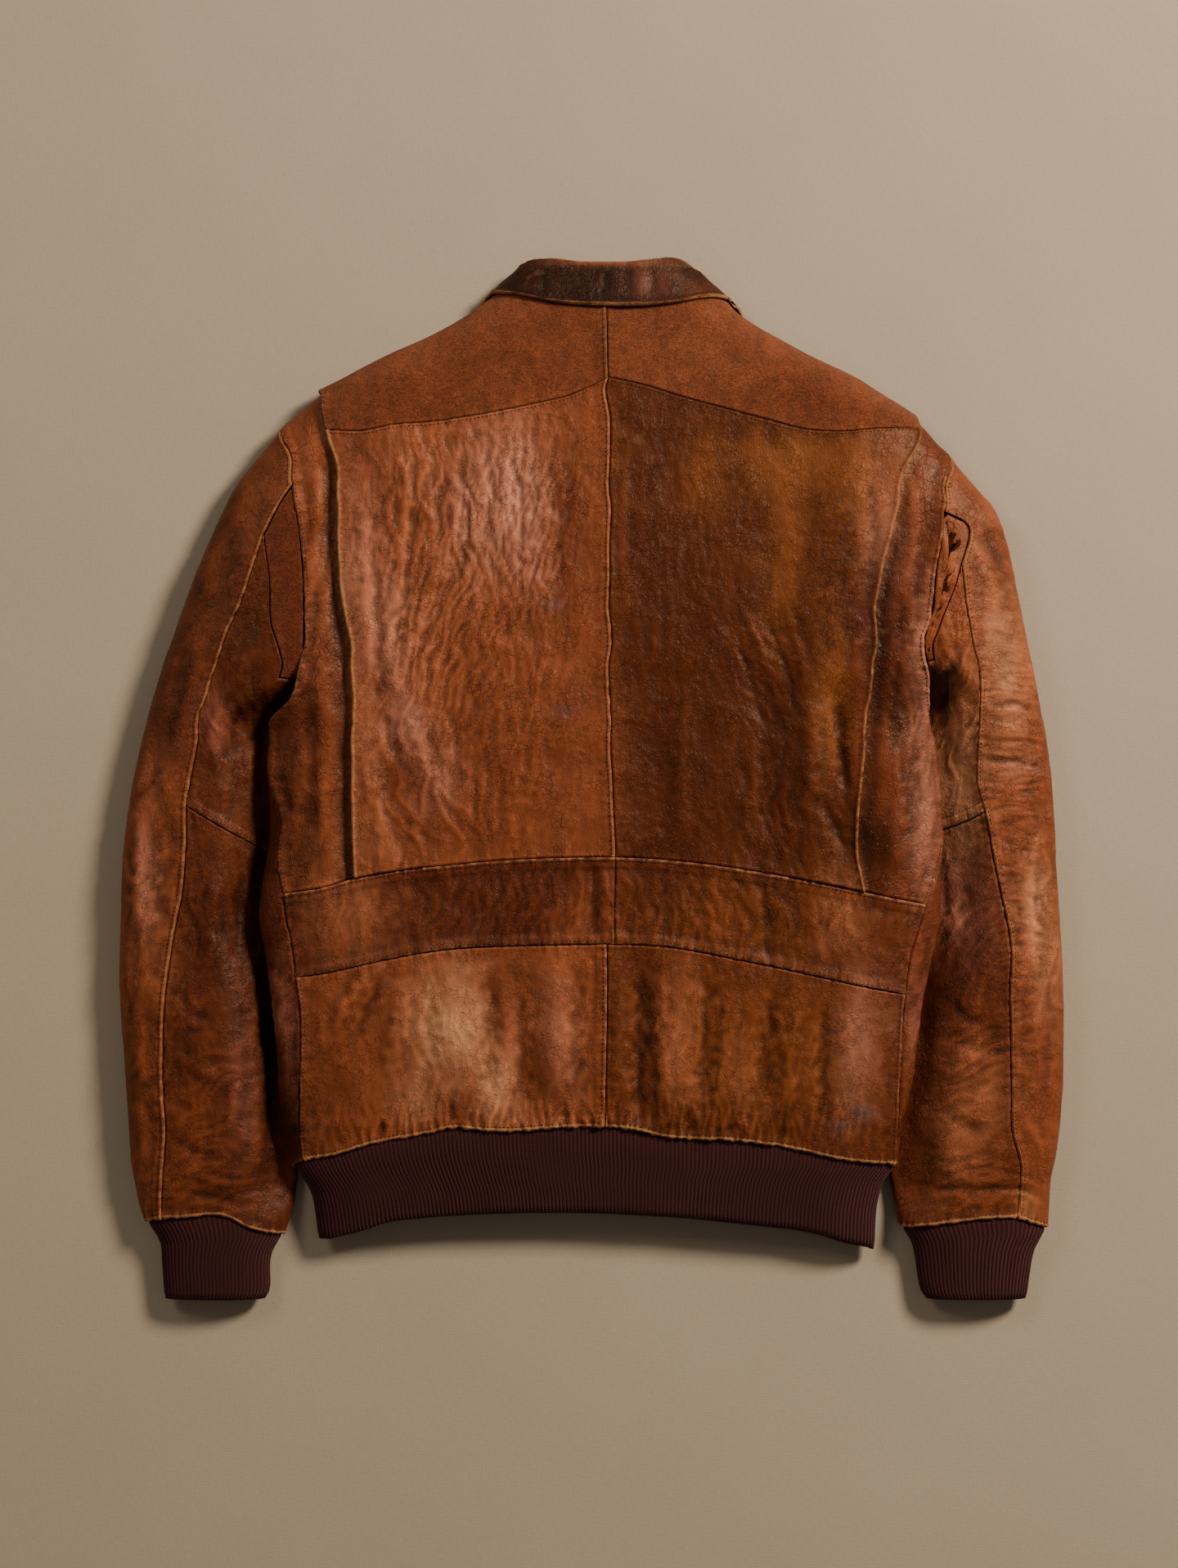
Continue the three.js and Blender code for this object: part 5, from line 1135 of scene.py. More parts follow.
def body_side(name):
    """The outlines of one side's back, belt, yoke, side and front pieces, as runs of places."""
    side = SIDES[name]
    sign = side["sign"]
    fold = 0 if sign < 0 else 1
    pleat_foot = meet(side["pleat"], BELT_TOP, -75)
    pleat_head = meet(side["pleat"], side["yoke_seam"], 261)
    side_belt_top = meet(side["side_seam"], BELT_TOP, -85)
    side_belt_bottom = meet(side["side_seam"], BELT_BOTTOM, -148)
    side_hem = meet(side["side_seam"], HEM, -284)
    centre_foot = meet(CENTRE_BACK, BELT_TOP, -57)
    centre_head = meet(CENTRE_BACK, side["yoke_seam"], 299)

    back_bottom = across_seam(BELT_TOP, pleat_foot[0], centre_foot[0], ACROSS_BACK)
    back_top = across_seam(side["yoke_seam"], pleat_head[0], centre_head[0], ACROSS_BACK)
    pleat = on_body(up_seam(side["pleat"], between(pleat_foot[1], pleat_head[1], ROWS_BACK)))
    centre = on_body(up_seam(CENTRE_BACK, between(centre_foot[1], centre_head[1], ROWS_BACK)))
    outlines = {"back": by_edge([on_body(back_bottom)], [on_body(back_top)], [pleat], [centre])}

    yoke_start = side["shoulder_rows"][2]
    shoulder = [(fold, y) for y in side["shoulder_rows"][2:]]
    neck = on_body([*side["neck_seam"], (float(through(CENTRE_YOKE)(365)), 365)])
    yoke_side = on_body(up_seam(side["pleat"], between(pleat_head[1], yoke_start, 6)))
    yoke_side[-1] = (fold, yoke_start)
    yoke_centre = on_body(up_seam(CENTRE_YOKE, between(centre_head[1], 365, 6)))
    yoke_centre[0] = on_body([centre_head])[0]
    outlines["yoke"] = by_edge([on_body(back_top)], [shoulder, [shoulder[-1], *neck]],
                               [yoke_side], [yoke_centre])

    armhole = on_body(up_seam(side["armhole"], side["armhole_rows"]))
    armhole[0] = (fold, side["armhole_rows"][0])
    armhole[-1] = (fold, side["armhole_rows"][-1])
    side_rows = [on_body([side_belt_top])[0],
                 *on_body(up_seam(side["side_seam"], side["side_rows"])), armhole[0]]
    side_fold = [(fold, y) for y in side["shoulder_rows"][:4]]
    coarse_back = fill_between(on_body(back_bottom), on_body(back_top), pleat, centre)
    strip = [tuple(row[1]) for row in coarse_back] + [side_fold[3]]
    belt_end = on_body(across_seam(BELT_TOP, side_belt_top[0], pleat_foot[0], ACROSS_SIDE))
    outlines["side_back"] = by_edge([belt_end, [belt_end[-1], strip[0]]], [side_fold],
                                    [side_rows, armhole[:8], armhole[7:]], [strip])

    centre_x = CENTRE_BELT[0][1]
    belt_foot = across_seam(BELT_BOTTOM, side_belt_bottom[0], centre_x, ACROSS_BACK + ACROSS_SIDE)
    belt_rows = between(side_belt_bottom[1], side_belt_top[1], ROWS_BELT)
    belt_side = on_body(up_seam(side["side_seam"], belt_rows))
    belt_centre = on_body(end_row(belt_foot[-1], centre_foot, ROWS_BELT))
    outlines["belt"] = by_edge([on_body(belt_foot)], [belt_end, on_body(back_bottom)],
                               [belt_side], [belt_centre])

    lower_x = CENTRE_LOWER[-1][1]
    lower_top = across_seam(BELT_BOTTOM, side_belt_bottom[0], lower_x, ACROSS_BACK + ACROSS_SIDE)
    hem_x = CENTRE_LOWER[0][1]
    lower_foot = on_body(across_seam(HEM, side_hem[0], hem_x, ACROSS_BACK + ACROSS_SIDE))
    side_heights = between(side_hem[1], side_belt_bottom[1], ROWS_LOWER)
    lower_side = on_body(up_seam(side["side_seam"], side_heights))
    centre_heights = between(float(through(HEM)(hem_x)), lower_top[-1][1], ROWS_LOWER)
    lower_centre = on_body(up_seam(CENTRE_LOWER, centre_heights))
    outlines["lower_back"] = by_edge([lower_foot], [on_body(lower_top)], [lower_side], [lower_centre])

    lap_edge = CENTRE_FRONT - LAP_HALF * sign
    armhole_under = under_body(up_seam(side["armhole"], side["armhole_rows"])[1:-1], fold)
    shoulder_fold = [(fold, y) for y in side["shoulder_rows"]]
    neck_under = under_body(side["front_neck"], fold)
    neck_front = under_body([(CENTRE_FRONT + 2 * sign, NECK_FRONT), (lap_edge, NECK_FRONT)], fold)
    hem_centre = under_body([(lap_edge, front_hem(CENTRE_FRONT))], fold)[0]
    hem_under = []
    for share in FRONT_SHARES:
        turn = fold + (hem_centre[0] - fold) * share
        hem_under.append((turn, settled(-286, lambda y, at=turn: front_hem(x_of(body_tube, at, y)))))
    front_side = [lower_side, belt_side, side_rows,
                  [armhole[0], *armhole_under, shoulder_fold[0]], shoulder_fold]
    lap_rows = between(hem_centre[1], NECK_FRONT, steps_of(front_side))
    outlines["front"] = by_edge([[lower_foot[0], hem_under[0]], [*hem_under, hem_centre]],
                                [[shoulder_fold[-1], *neck_under, *neck_front]], front_side,
                                [under_body([(lap_edge, y) for y in lap_rows], fold)])
    outlines["neck"] = [shoulder_fold[-1], *neck]
    outlines["neck_front"] = [*neck_under, neck_front[0]]
    return outlines


BODY = {name: body_side(name) for name in SIDES}


def band_rows():
    """The waistband's lower and upper rows of places, from the centre front round the back."""
    band_at = through(BAND_BOTTOM)
    start = body_turn((CENTRE_FRONT, -264))
    ends = {"left": (-start, front_hem(CENTRE_FRONT)), "right": (2 - start, front_hem(CENTRE_FRONT))}
    front = {}
    for name, outlines in BODY.items():
        first, rest = outlines["front"]["bottom"]
        front[name] = [first[0], *rest[:-1], ends[name]]
    left, right = (BODY[name]["lower_back"]["bottom"][0] for name in ("left", "right"))
    upper = [front["left"][::-1], left, [left[-1], *right[::-1]], front["right"]]

    def lower(place):
        turn = place[0]
        reach = 2 if turn < 0 or turn > 1 else 0
        return turn, settled(-340, lambda y: float(band_at(x_of(body_tube, turn, y))) + reach)

    return [[lower(place) for place in run] for run in upper], upper


def leaf_rows():
    """The collar leaf's edge and fold, from the left front round the back to the right front."""
    left_edge, left_fold = LEAF_END_ROWS["left"]
    right_edge, right_fold = LEAF_END_ROWS["right"]
    edge = [*under_body(SIDES["left"]["collar_edge"], 0), (0, left_edge), *on_body(LEAF_EDGE),
            (1, right_edge), *under_body(SIDES["right"]["collar_edge"][::-1], 1)]
    fold = [*under_body(LEAF_FOLD_LEFT, 0), (0, left_fold), *on_body(LEAF_FOLD_BACK),
            (1, right_fold), *under_body(LEAF_FOLD_RIGHT[::-1], 1)]
    return edge, fold


def stand_rows(leaf_fold):
    """The collar stand's seam and its upper edge just inside the leaf's fold."""
    left, right = BODY["left"], BODY["right"]
    seam = [*left["neck_front"][::-1], *left["neck"], *right["neck"][::-1][1:], *right["neck_front"]]
    turn_at = through([[i, place[0]] for i, place in enumerate(seam)])
    fold_at = through(leaf_fold)
    top = [(float(turn_at(i)), float(fold_at(place[0])) - 0.5) for i, place in enumerate(seam)]
    return seam, top


def strip_between(lower, upper):
    """The outline of a narrow strip between two rows of places."""
    return by_edge([lower], [upper], [end_row(lower[0], upper[0])], [end_row(lower[-1], upper[-1])])


def fill_row(row, count):
    """The same row of places with another number of steps."""
    at = np.linspace(0, len(row) - 1, count + 1)
    turns, heights = (np.interp(at, np.arange(len(row)), values) for values in zip(*row))
    return list(zip(turns.tolist(), heights.tolist()))


def sleeve_side(name):
    """The outlines of one sleeve's pieces, with its surface."""
    side = SIDES[name]
    tube = sleeve_tube(side)
    outer_edge, inner_edge = through(side["sleeve_outer"]), through(side["sleeve_inner"])

    def turn_at(point):
        x, y = point
        share = (x - outer_edge(y)) / (inner_edge(y) - outer_edge(y))
        return math.acos(float(np.clip(1 - 2 * share, -1, 1))) / math.pi

    def on_top(points):
        return [(turn_at(p), p[1]) for p in points]

    armhole = up_seam(side["armhole"], side["armhole_rows"])
    underarm = armhole[0]
    cuff_at, sleeve_at = through(side["cuff_seam"]), through(side["sleeve_seam"])
    cuff_row = settled(float(cuff_at(side["cuff_seam"][0][0])), lambda y: cuff_at(sleeve_at(y)))
    elbow_at = side["elbow_seam"][0][1]
    elbow_under = side["elbow_seam"][-1][1] - 5
    seam_top = side["gusset_lower"][-1]

    def front_seam(rows):
        return [(float(inner_edge(y)) + side["sign"] * SEAM_ROOM, y) for y in rows]

    def by_outer(points):
        return [(-turn_at(p), p[1]) for p in points]

    lower_rows = between(cuff_row, elbow_at, ROWS_LOWER_SLEEVE)
    upper_rows = between(elbow_at, seam_top[1], ROWS_UPPER_SLEEVE)
    rear_lower = on_top(up_seam(side["sleeve_seam"], lower_rows))
    rear_upper = on_top(up_seam(side["sleeve_seam"], upper_rows))
    front_lower = by_outer(front_seam(between(-337, elbow_under, ROWS_LOWER_SLEEVE)))
    front_upper = by_outer(front_seam(between(elbow_under, underarm[1] + 1, ROWS_UPPER_SLEEVE)))

    def cuff_place(turn):
        return turn, settled(-330, lambda y: cuff_at(x_of(tube, turn, y)))

    rear_turn = rear_lower[0][0]
    round_fold = rear_turn - front_lower[0][0]
    outer_foot = [cuff_place(rear_turn - share * round_fold) for share in OUTER_SHARES]
    rear_lower[0], front_lower[0] = outer_foot[0], outer_foot[-1]
    apex = (0, side["armhole_rows"][-1])
    under_armhole = by_outer(armhole)
    head = on_top([side["gusset_mid"], armhole[7], armhole[8]])
    outlines = {"sleeve_outer": by_edge(
        [outer_foot], [[apex, *under_armhole[8:3:-1]]],
        [rear_lower, rear_upper, [rear_upper[-1], head[0], head[1]], [head[1], head[2], apex]],
        [front_lower, front_upper, [front_upper[-1], *under_armhole[1:5]]],
    )}

    inner_lower = [(2 + turn, y) for turn, y in front_lower]
    inner_upper = [(2 + turn, y) for turn, y in front_upper]
    elbow = fill_row([rear_lower[-1], *on_top(side["elbow_seam"][1:]), (1, elbow_under),
                      inner_lower[-1]], ACROSS_UNDER_SLEEVE)
    turns = between(outer_foot[0][0], inner_lower[0][0], ACROSS_UNDER_SLEEVE)
    lower_foot = [outer_foot[0], *[cuff_place(turn) for turn in turns[1:-1]], inner_lower[0]]
    outlines["sleeve_under_lower"] = by_edge([lower_foot], [elbow], [rear_lower], [inner_lower])
    gusset_row = on_top(side["gusset_lower"][::-1])
    body_row = on_top([armhole[2], armhole[1]])
    just_above = (turn_at(underarm), underarm[1] + 1)
    outlines["sleeve_under_upper"] = by_edge(
        [elbow], [gusset_row, [gusset_row[-1], body_row[0]], [*body_row, just_above],
                  [just_above, inner_upper[-1]]],
        [rear_upper], [inner_upper],
    )

    tip = armhole[7]

    def near_tip(point):
        return tuple(tip[k] + (point[k] - tip[k]) * TIP_SHARE for k in (0, 1))

    mid, lower_points = side["gusset_mid"], on_top(side["gusset_lower"])
    outlines["gusset"] = by_edge(
        [on_top([side["gusset_lower"][0], armhole[2]])],
        [on_top([near_tip(mid), near_tip(armhole[6])])],
        [lower_points, [lower_points[-1], *on_top([mid, near_tip(mid)])]],
        [on_top([*armhole[2:7], near_tip(armhole[6])])],
    )
    cuff_top = [outer_foot[::-1], lower_foot]
    outlines["cuff"] = ([[(place[0], CUFF_END) for place in run] for run in cuff_top], cuff_top)
    return surface_of(tube, -side["sign"]), outlines


SLEEVES = {name: sleeve_side(name) for name in SIDES}


def pleat_lift(name):
    """The pleat and yoke end stand off the side panel that they lie on."""
    side = SIDES[name]
    pleat_at = through(side["pleat"])

    def lift(points):
        inside = -side["sign"] * (points[..., 0] - pleat_at(points[..., 1]))
        return PLEAT_LIFT * (1 - smooth_rise(inside, *PLEAT_REACH))

    return lift


def lap_lift(points):
    """The right front lies inside the left one where they lap."""
    low = points[..., 2] < LAP_BELOW
    return np.where(low, -LAP_LIFT * (1 - smooth_rise(points[..., 0], *LAP_REACH)), 0)


def leaf_lift(points):
    """The collar leaf stands off all round."""
    return np.full(points.shape[:-1], COLLAR_LIFT)


# ---------------------------------------------------------------- finishes
class Value:
    """A socket of a material's node tree. Arithmetic on it adds Math nodes."""

    def __init__(self, finish, socket):
        self.finish, self.socket = finish, socket

    def _math(self, operation, first, second):
        return self.finish.add("ShaderNodeMath", {"operation": operation}, {0: first, 1: second})

    def __add__(self, other):
        return self._math("ADD", self, other)

    def __radd__(self, other):
        return self._math("ADD", other, self)

    def __sub__(self, other):
        return self._math("SUBTRACT", self, other)

    def __rsub__(self, other):
        return self._math("SUBTRACT", other, self)

    def __mul__(self, other):
        return self._math("MULTIPLY", self, other)

    def __rmul__(self, other):
        return self._math("MULTIPLY", other, self)

    def __pow__(self, other):
        return self._math("POWER", self, other)


class Finish:
    """A material, with its surface shader ready to be given values.

    The scales of noise and cells count their features to the metre.
    """

    def __init__(self, name, **uniform):
        self.material = bpy.data.materials.new(name)
        self.material.use_nodes = True
        self.nodes = self.material.node_tree.nodes
        self.links = self.material.node_tree.links
        self.nodes.clear()
        output = self.nodes.new("ShaderNodeOutputMaterial")
        self.shader = self.nodes.new("ShaderNodeBsdfPrincipled")
        self.links.new(self.shader.outputs[0], output.inputs[0])
        for socket, value in uniform.items():
            self.shader.inputs[socket.replace("_", " ")].default_value = value

    def add(self, kind, settings=None, inputs=None, output=0):
        """Adds one node and returns one of its outputs."""
        node = self.nodes.new(kind)
        for key, value in (settings or {}).items():
            setattr(node, key, value)
        for key, value in (inputs or {}).items():
            self.feed(node.inputs[key], value)
        return Value(self, node.outputs[output])

    def feed(self, socket, value):
        if isinstance(value, Value):
            self.links.new(value.socket, socket)
        else:
            socket.default_value = value

    def set(self, socket, value):
        self.feed(self.shader.inputs[socket], value)

    def attribute(self, name, output="Fac"):
        return self.add("ShaderNodeAttribute", {"attribute_name": name}, output=output)

    def place(self):
        return self.add("ShaderNodeTexCoord", output="Object")

    def noise(self, place, scale, detail=3.0, roughness=0.6):
        return self.add("ShaderNodeTexNoise", {}, {"Vector": place, "Scale": scale, "Detail": detail,
                                                   "Roughness": roughness})

    def cells(self, place, scale):
        return self.add("ShaderNodeTexVoronoi", {"feature": "DISTANCE_TO_EDGE"},
                        {"Vector": place, "Scale": scale})

    def stretched(self, place, scale):
        return self.add("ShaderNodeMapping", {}, {"Vector": place, "Scale": scale})

    def ranged(self, value, low, high, to_low=0.0, to_high=1.0):
        """value between low and high as to_low to to_high, held at both ends."""
        return self.add("ShaderNodeMapRange", {"interpolation_type": "SMOOTHSTEP"},
                        {"Value": value, "From Min": low, "From Max": high, "To Min": to_low,
                         "To Max": to_high})

    def mix(self, share, first, second, blend="MIX"):
        """Two colours mixed, by a share from 0 to 1."""
        node = self.nodes.new("ShaderNodeMix")
        node.data_type, node.blend_type = "RGBA", blend
        for index, value in ((0, share), (6, first), (7, second)):
            if isinstance(value, (tuple, list, np.ndarray)):
                value = (*[float(v) for v in value], 1.0)[:4]
            self.feed(node.inputs[index], value)
        return Value(self, node.outputs[2])

    def grey(self, value):
        """A number as a colour."""
        return self.add("ShaderNodeCombineColor", {}, {0: value, 1: value, 2: value})

    def dyed(self, shade, tint):
        """The piece's tone, with the painted light and shade in it, multiplied by shade and tinted."""
        base = self.mix(1.0, self.attribute("tone", "Color"), self.grey(shade), "MULTIPLY")
        return self.mix(1.0, base, tint, "MULTIPLY")

    def bump(self, height, distance, strength=1.0):
        self.set("Normal", self.add("ShaderNodeBump", {}, {"Height": height, "Distance": distance,
                                                            "Strength": strength}))


def leather(name, gloss, coarse, tint):
    """Worn hide: pebbled grain, fine creases, mottled dye, and tan where the dye has rubbed off."""
    finish = Finish(name, IOR=1.45, Specular_IOR_Level=0.26,
                    Specular_Tint=(1.0, 0.72, 0.48, 1.0))
    place = finish.place()
    worn = finish.attribute("wear")
    fine = finish.noise(place, 900.0, 4.0, 0.65)
    middle = finish.noise(place, 210.0, 5.0, 0.62)
    wide = finish.noise(place, 55.0, 4.0, 0.6)
    waves = finish.add("ShaderNodeTexNoise", {}, {"Vector": place, "Scale": 160.0}, "Color")
    bent = finish.add("ShaderNodeVectorMath", {"operation": "MULTIPLY_ADD"},
                      {0: waves, 1: (0.006, 0.006, 0.006), 2: place})
    pebbles = finish.cells(bent, 620.0 / coarse)
    cracks = finish.cells(bent, 190.0 / coarse)
    grooves = finish.ranged(pebbles, 0.0, 0.16)
    creases = finish.ranged(cracks, 0.0, 0.05)
    creased = finish.ranged(wide, 0.42, 0.62)
    drawn = finish.noise(finish.stretched(bent, (1.0, 0.20, 1.0)), 250.0, 3.0, 0.6)
    drawn = finish.add("ShaderNodeMath", {"operation": "PINGPONG"}, {0: drawn * 3.2, 1: 0.5}) * 2
    drawn = drawn ** 0.6
    shade = (0.90 + 0.10 * grooves) * (0.86 + 0.28 * middle) * (0.88 + 0.24 * fine)
    shade = shade * (0.93 + 0.09 * drawn)
    shade = shade * (1 - 0.22 * (1 - creases) * creased)
    base = finish.dyed(shade, tint)
    stained = finish.ranged(finish.noise(place, 26.0, 6.0, 0.7), 0.60, 0.74)
    base = finish.mix(stained * 0.26, base, linear("2c140c"))
    bleached = finish.ranged(finish.noise(place, 34.0, 6.0, 0.72), 0.60, 0.72)
    base = finish.mix(bleached * 0.10, base, TONES["gold"])
    rubbed = finish.ranged(worn * (0.62 + 0.76 * middle), 0.30, 1.05)
    base = finish.mix(rubbed * 0.80, base, TONES["tan"])
    finish.set("Base Color", base)
    finish.set("Roughness", (gloss + 0.20 * middle) + 0.16 * rubbed + 0.06 * (1 - grooves))
    finish.bump(pebbles * 0.35 + fine * 0.15 + creases * creased * 0.6 + middle * 0.45 + drawn * 0.22,
                0.0008, 0.85)
    return finish.material


def suede(name, tint):
    """Napped flesh side: no shine, short fibres brushed in patches, and darker specks."""
    finish = Finish(name, Specular_IOR_Level=0.12, Sheen_Weight=0.16, Sheen_Roughness=0.45,
                    Sheen_Tint=(0.85, 0.42, 0.22, 1.0))
    place = finish.place()
    worn = finish.attribute("wear")
    fibres = finish.noise(finish.stretched(place, (1.0, 1.5, 1.0)), 620.0, 4.0, 0.75)
    nap = finish.ranged(fibres, 0.32, 0.68)
    brushed = finish.ranged(finish.noise(place, 85.0, 6.0, 0.72), 0.30, 0.70)
    specks = finish.ranged(finish.noise(place, 340.0, 4.0, 0.8), 0.46, 0.60)
    shade = (0.70 + 0.80 * nap) * (0.86 + 0.32 * brushed) * (1 - 0.34 * specks)
    rubbed = finish.ranged(worn * (0.55 + 0.9 * nap), 0.35, 1.1)
    finish.set("Base Color", finish.mix(rubbed * 0.7, finish.dyed(shade, tint), TONES["tan"]))
    finish.set("Roughness", 0.88 + 0.10 * brushed)
    finish.bump(nap * 0.9 + brushed * 0.9 - specks * 0.5, 0.0009, 0.9)
    return finish.material


def ribbed_knit(name, tint):
    """Wool rib: each wale is a column of small leaning stitches, slightly fuzzy."""
    finish = Finish(name, Specular_IOR_Level=0.15, Sheen_Weight=0.25, Sheen_Roughness=0.5,
                    Sheen_Tint=(0.6, 0.28, 0.24, 1.0))
    place = finish.place()
    stitch = finish.add("ShaderNodeSeparateXYZ", {}, {0: finish.attribute("stitch", "Vector")})
    across = Value(finish, stitch.socket.node.outputs[0])
    along = Value(finish, stitch.socket.node.outputs[1])
    from_middle = finish.add("ShaderNodeMath", {"operation": "PINGPONG"}, {0: across, 1: 0.5})
    wave = finish.add("ShaderNodeMath", {"operation": "SINE"},
                      {0: (along * (10 / 1.9) + from_middle * 1.3) * (2 * math.pi)})
    loop = 0.5 + 0.5 * wave
    fuzz = finish.noise(place, 1500.0, 3.0, 0.7)
    patchy = finish.noise(place, 60.0, 4.0, 0.6)
    shade = (0.72 + 0.36 * loop) * (0.70 + 0.6 * fuzz) * (0.80 + 0.4 * patchy)
    finish.set("Base Color", finish.dyed(shade, tint))
    finish.set("Roughness", 0.86 + 0.1 * fuzz)
    finish.bump(loop * 0.8 + fuzz * 0.5, 0.0006, 0.9)
    return finish.material


def waxed_thread(name, colour):
    """Dark twisted thread."""
    finish = Finish(name, Specular_IOR_Level=0.3)
    twist = finish.noise(finish.place(), 1300.0, 2.0)
    finish.set("Base Color", finish.mix(twist, tuple(v * 0.6 for v in colour[:3]), tuple(colour[:3])))
    finish.set("Roughness", 0.6 + 0.2 * twist)
    return finish.material


def cotton_canvas(name, colour):
    """The pale cloth that the jacket lies on."""
    finish = Finish(name, Specular_IOR_Level=0.1)
    place = finish.place()
    threads = (finish.noise(finish.stretched(place, (1.0, 0.16, 1.0)), 900.0, 2.0)
               + finish.noise(finish.stretched(place, (0.16, 1.0, 1.0)), 900.0, 2.0)) * 0.5
    patchy = finish.noise(place, 5.0, 5.0, 0.6)
    shade = (0.86 + 0.28 * threads) * (0.93 + 0.14 * patchy)
    finish.set("Base Color", finish.mix(1.0, tuple(colour[:3]), finish.grey(shade), "MULTIPLY"))
    finish.set("Roughness", 0.92)
    finish.bump(threads, 0.0005, 0.5)
    return finish.material


FINISHES = {}


def finishes():
    """Makes each finish once, from the sidebar's colours."""
    if not FINISHES:
        colours = bpy.context.scene.jacket_colours
        FINISHES.update({
            "hide": leather("worn_hide", 0.33, 1.0, tuple(colours.hide)),
            "coarse_hide": leather("pebbled_hide", 0.30, 1.7, tuple(colours.hide)),
            "suede": suede("brushed_suede", tuple(colours.suede)),
            "knit": ribbed_knit("wool_rib", tuple(colours.knit)),
            "thread": waxed_thread("waxed_thread", tuple(colours.thread)),
            "canvas": cotton_canvas("cotton_canvas", tuple(colours.floor)),
        })
    return FINISHES


# ---------------------------------------------------------------- sizes and colours
def length_setting(name, description, default, least, most):
    return FloatProperty(name=name, description=description, default=default, min=least, max=most,
                         unit="LENGTH")


class JacketSizes(bpy.types.PropertyGroup):
    """Sizes that change how the jacket is finished and shown."""
    crease_depth: FloatProperty(name="Crease depth", description="Scale of all creases and wrinkles",
                                default=1.15, min=0.0, max=2.0)
    rib_pitch: length_setting("Rib pitch", "Width of one rib of the knit", 0.0029, 0.002, 0.006)
    stitch_pitch: length_setting("Stitch pitch", "Distance from stitch to stitch", 0.0031, 0.002, 0.01)
    floor_size: length_setting("Floor size", "Side of the square floor", 6.0, 1.0, 20.0)
    camera_height: length_setting("Camera height", "Camera's height above the floor", 2.6, 1.0, 6.0)
    view_height: length_setting("View height", "Length of floor in the view", 1.169, 0.5, 3.0)
    key_power: IntProperty(name="Key light", description="Power of the main light", default=137,
                           min=0, max=1000)


def colour_setting(name, description, default):
    return FloatVectorProperty(name=name, description=description, default=default, size=3,
                               subtype="COLOR", min=0.0, max=4.0)


class JacketColours(bpy.types.PropertyGroup):
    """Tints of the materials; white leaves a material as it was dyed."""
    hide: colour_setting("Hide tint", "Tint over all the smooth leather", (1.0, 1.0, 1.0))
    suede: colour_setting("Suede tint", "Tint over the suede", (1.0, 1.0, 1.0))
    knit: colour_setting("Knit tint", "Tint over the ribbed knit", (1.0, 1.0, 1.0))
    thread: colour_setting("Thread", "Colour of the stitching", (0.030, 0.013, 0.006))
    floor: colour_setting("Floor", "Colour of the cloth on the floor", (0.40, 0.305, 0.203))


# Flat size of each cut piece in millimetres, width by length, and the share of that rectangle
# which the cut takes up.
FLAT_SIZES = {
    "back": (220, 365, 0.86),
    "yoke": (240, 125, 0.57),
    "side_back": (85, 410, 0.82),
    "belt": (245, 68, 0.95),
    "lower_back": (235, 142, 0.95),
    "front": (300, 700, 0.75),
    "waistband": (900, 66, 1.0),
    "collar_leaf": (490, 75, 0.50),
    "collar_stand": (430, 34, 0.42),
    "sleeve_outer": (200, 630, 0.66),
    "sleeve_under_lower": (115, 305, 0.88),
    "sleeve_under_upper": (160, 200, 0.36),
    "gusset": (45, 145, 0.48),
    "cuff": (185, 62, 1.0),
}


# ---------------------------------------------------------------- operators
VIEW_CENTRE = (-0.0014, -0.0035, 0.0)
SUBJECT_HEIGHT = 0.025    # height at which the view is as tall as asked for
FILM = 36.0               # side of the camera's sensor, millimetres
ROOM_LIGHT = 0.15
ROOM_COLOUR = (1.0, 0.97, 0.93, 1.0)
# Name, place, size, share of the key light's power, and colour.
LIGHTS = [
    ("key_light", (1.9, 1.6, 1.75), 0.75, 1.0, (1.0, 0.96, 0.90)),
    ("fill_light", (-1.6, 1.5, 1.9), 1.0, 0.13, (1.0, 0.97, 0.94)),
]


class JACKET_OT_stage(bpy.types.Operator):
    """Add the camera straight above, the pale floor and the soft lights"""
    bl_idname = "jacket.stage"
    bl_label = "Stage"

    def execute(self, context):
        sizes, made = context.scene.jacket, finishes()
        camera = bpy.data.cameras.new("camera")
        camera.sensor_fit = "VERTICAL"
        camera.sensor_width = camera.sensor_height = FILM
        camera.lens = FILM * (sizes.camera_height - SUBJECT_HEIGHT) / sizes.view_height
        holder = add_object("camera", camera)
        holder.location = Vector(VIEW_CENTRE) + Vector((0, 0, sizes.camera_height))
        context.scene.camera = holder
        bpy.ops.object.select_all(action="DESELECT")
        bpy.ops.mesh.primitive_plane_add(size=sizes.floor_size, location=(0, 0, 0))
        floor = context.active_object
        floor.name = "floor"
        floor.data.materials.append(made["canvas"])
        for name, place, size, power, colour in LIGHTS:
            light = bpy.data.lights.new(name, "AREA")
            light.shape = "DISK"
            light.size = size
            light.energy = power * sizes.key_power
            light.color = colour
            lamp = add_object(name, light)
            lamp.location = place
            lamp.rotation_euler = (Vector(place) * -1).to_track_quat("-Z", "Y").to_euler()
        world = bpy.data.worlds.new("room")
        world.use_nodes = True
        sky = world.node_tree.nodes["Background"]
        sky.inputs["Color"].default_value = ROOM_COLOUR
        sky.inputs["Strength"].default_value = ROOM_LIGHT
        context.scene.world = world
        return {"FINISHED"}


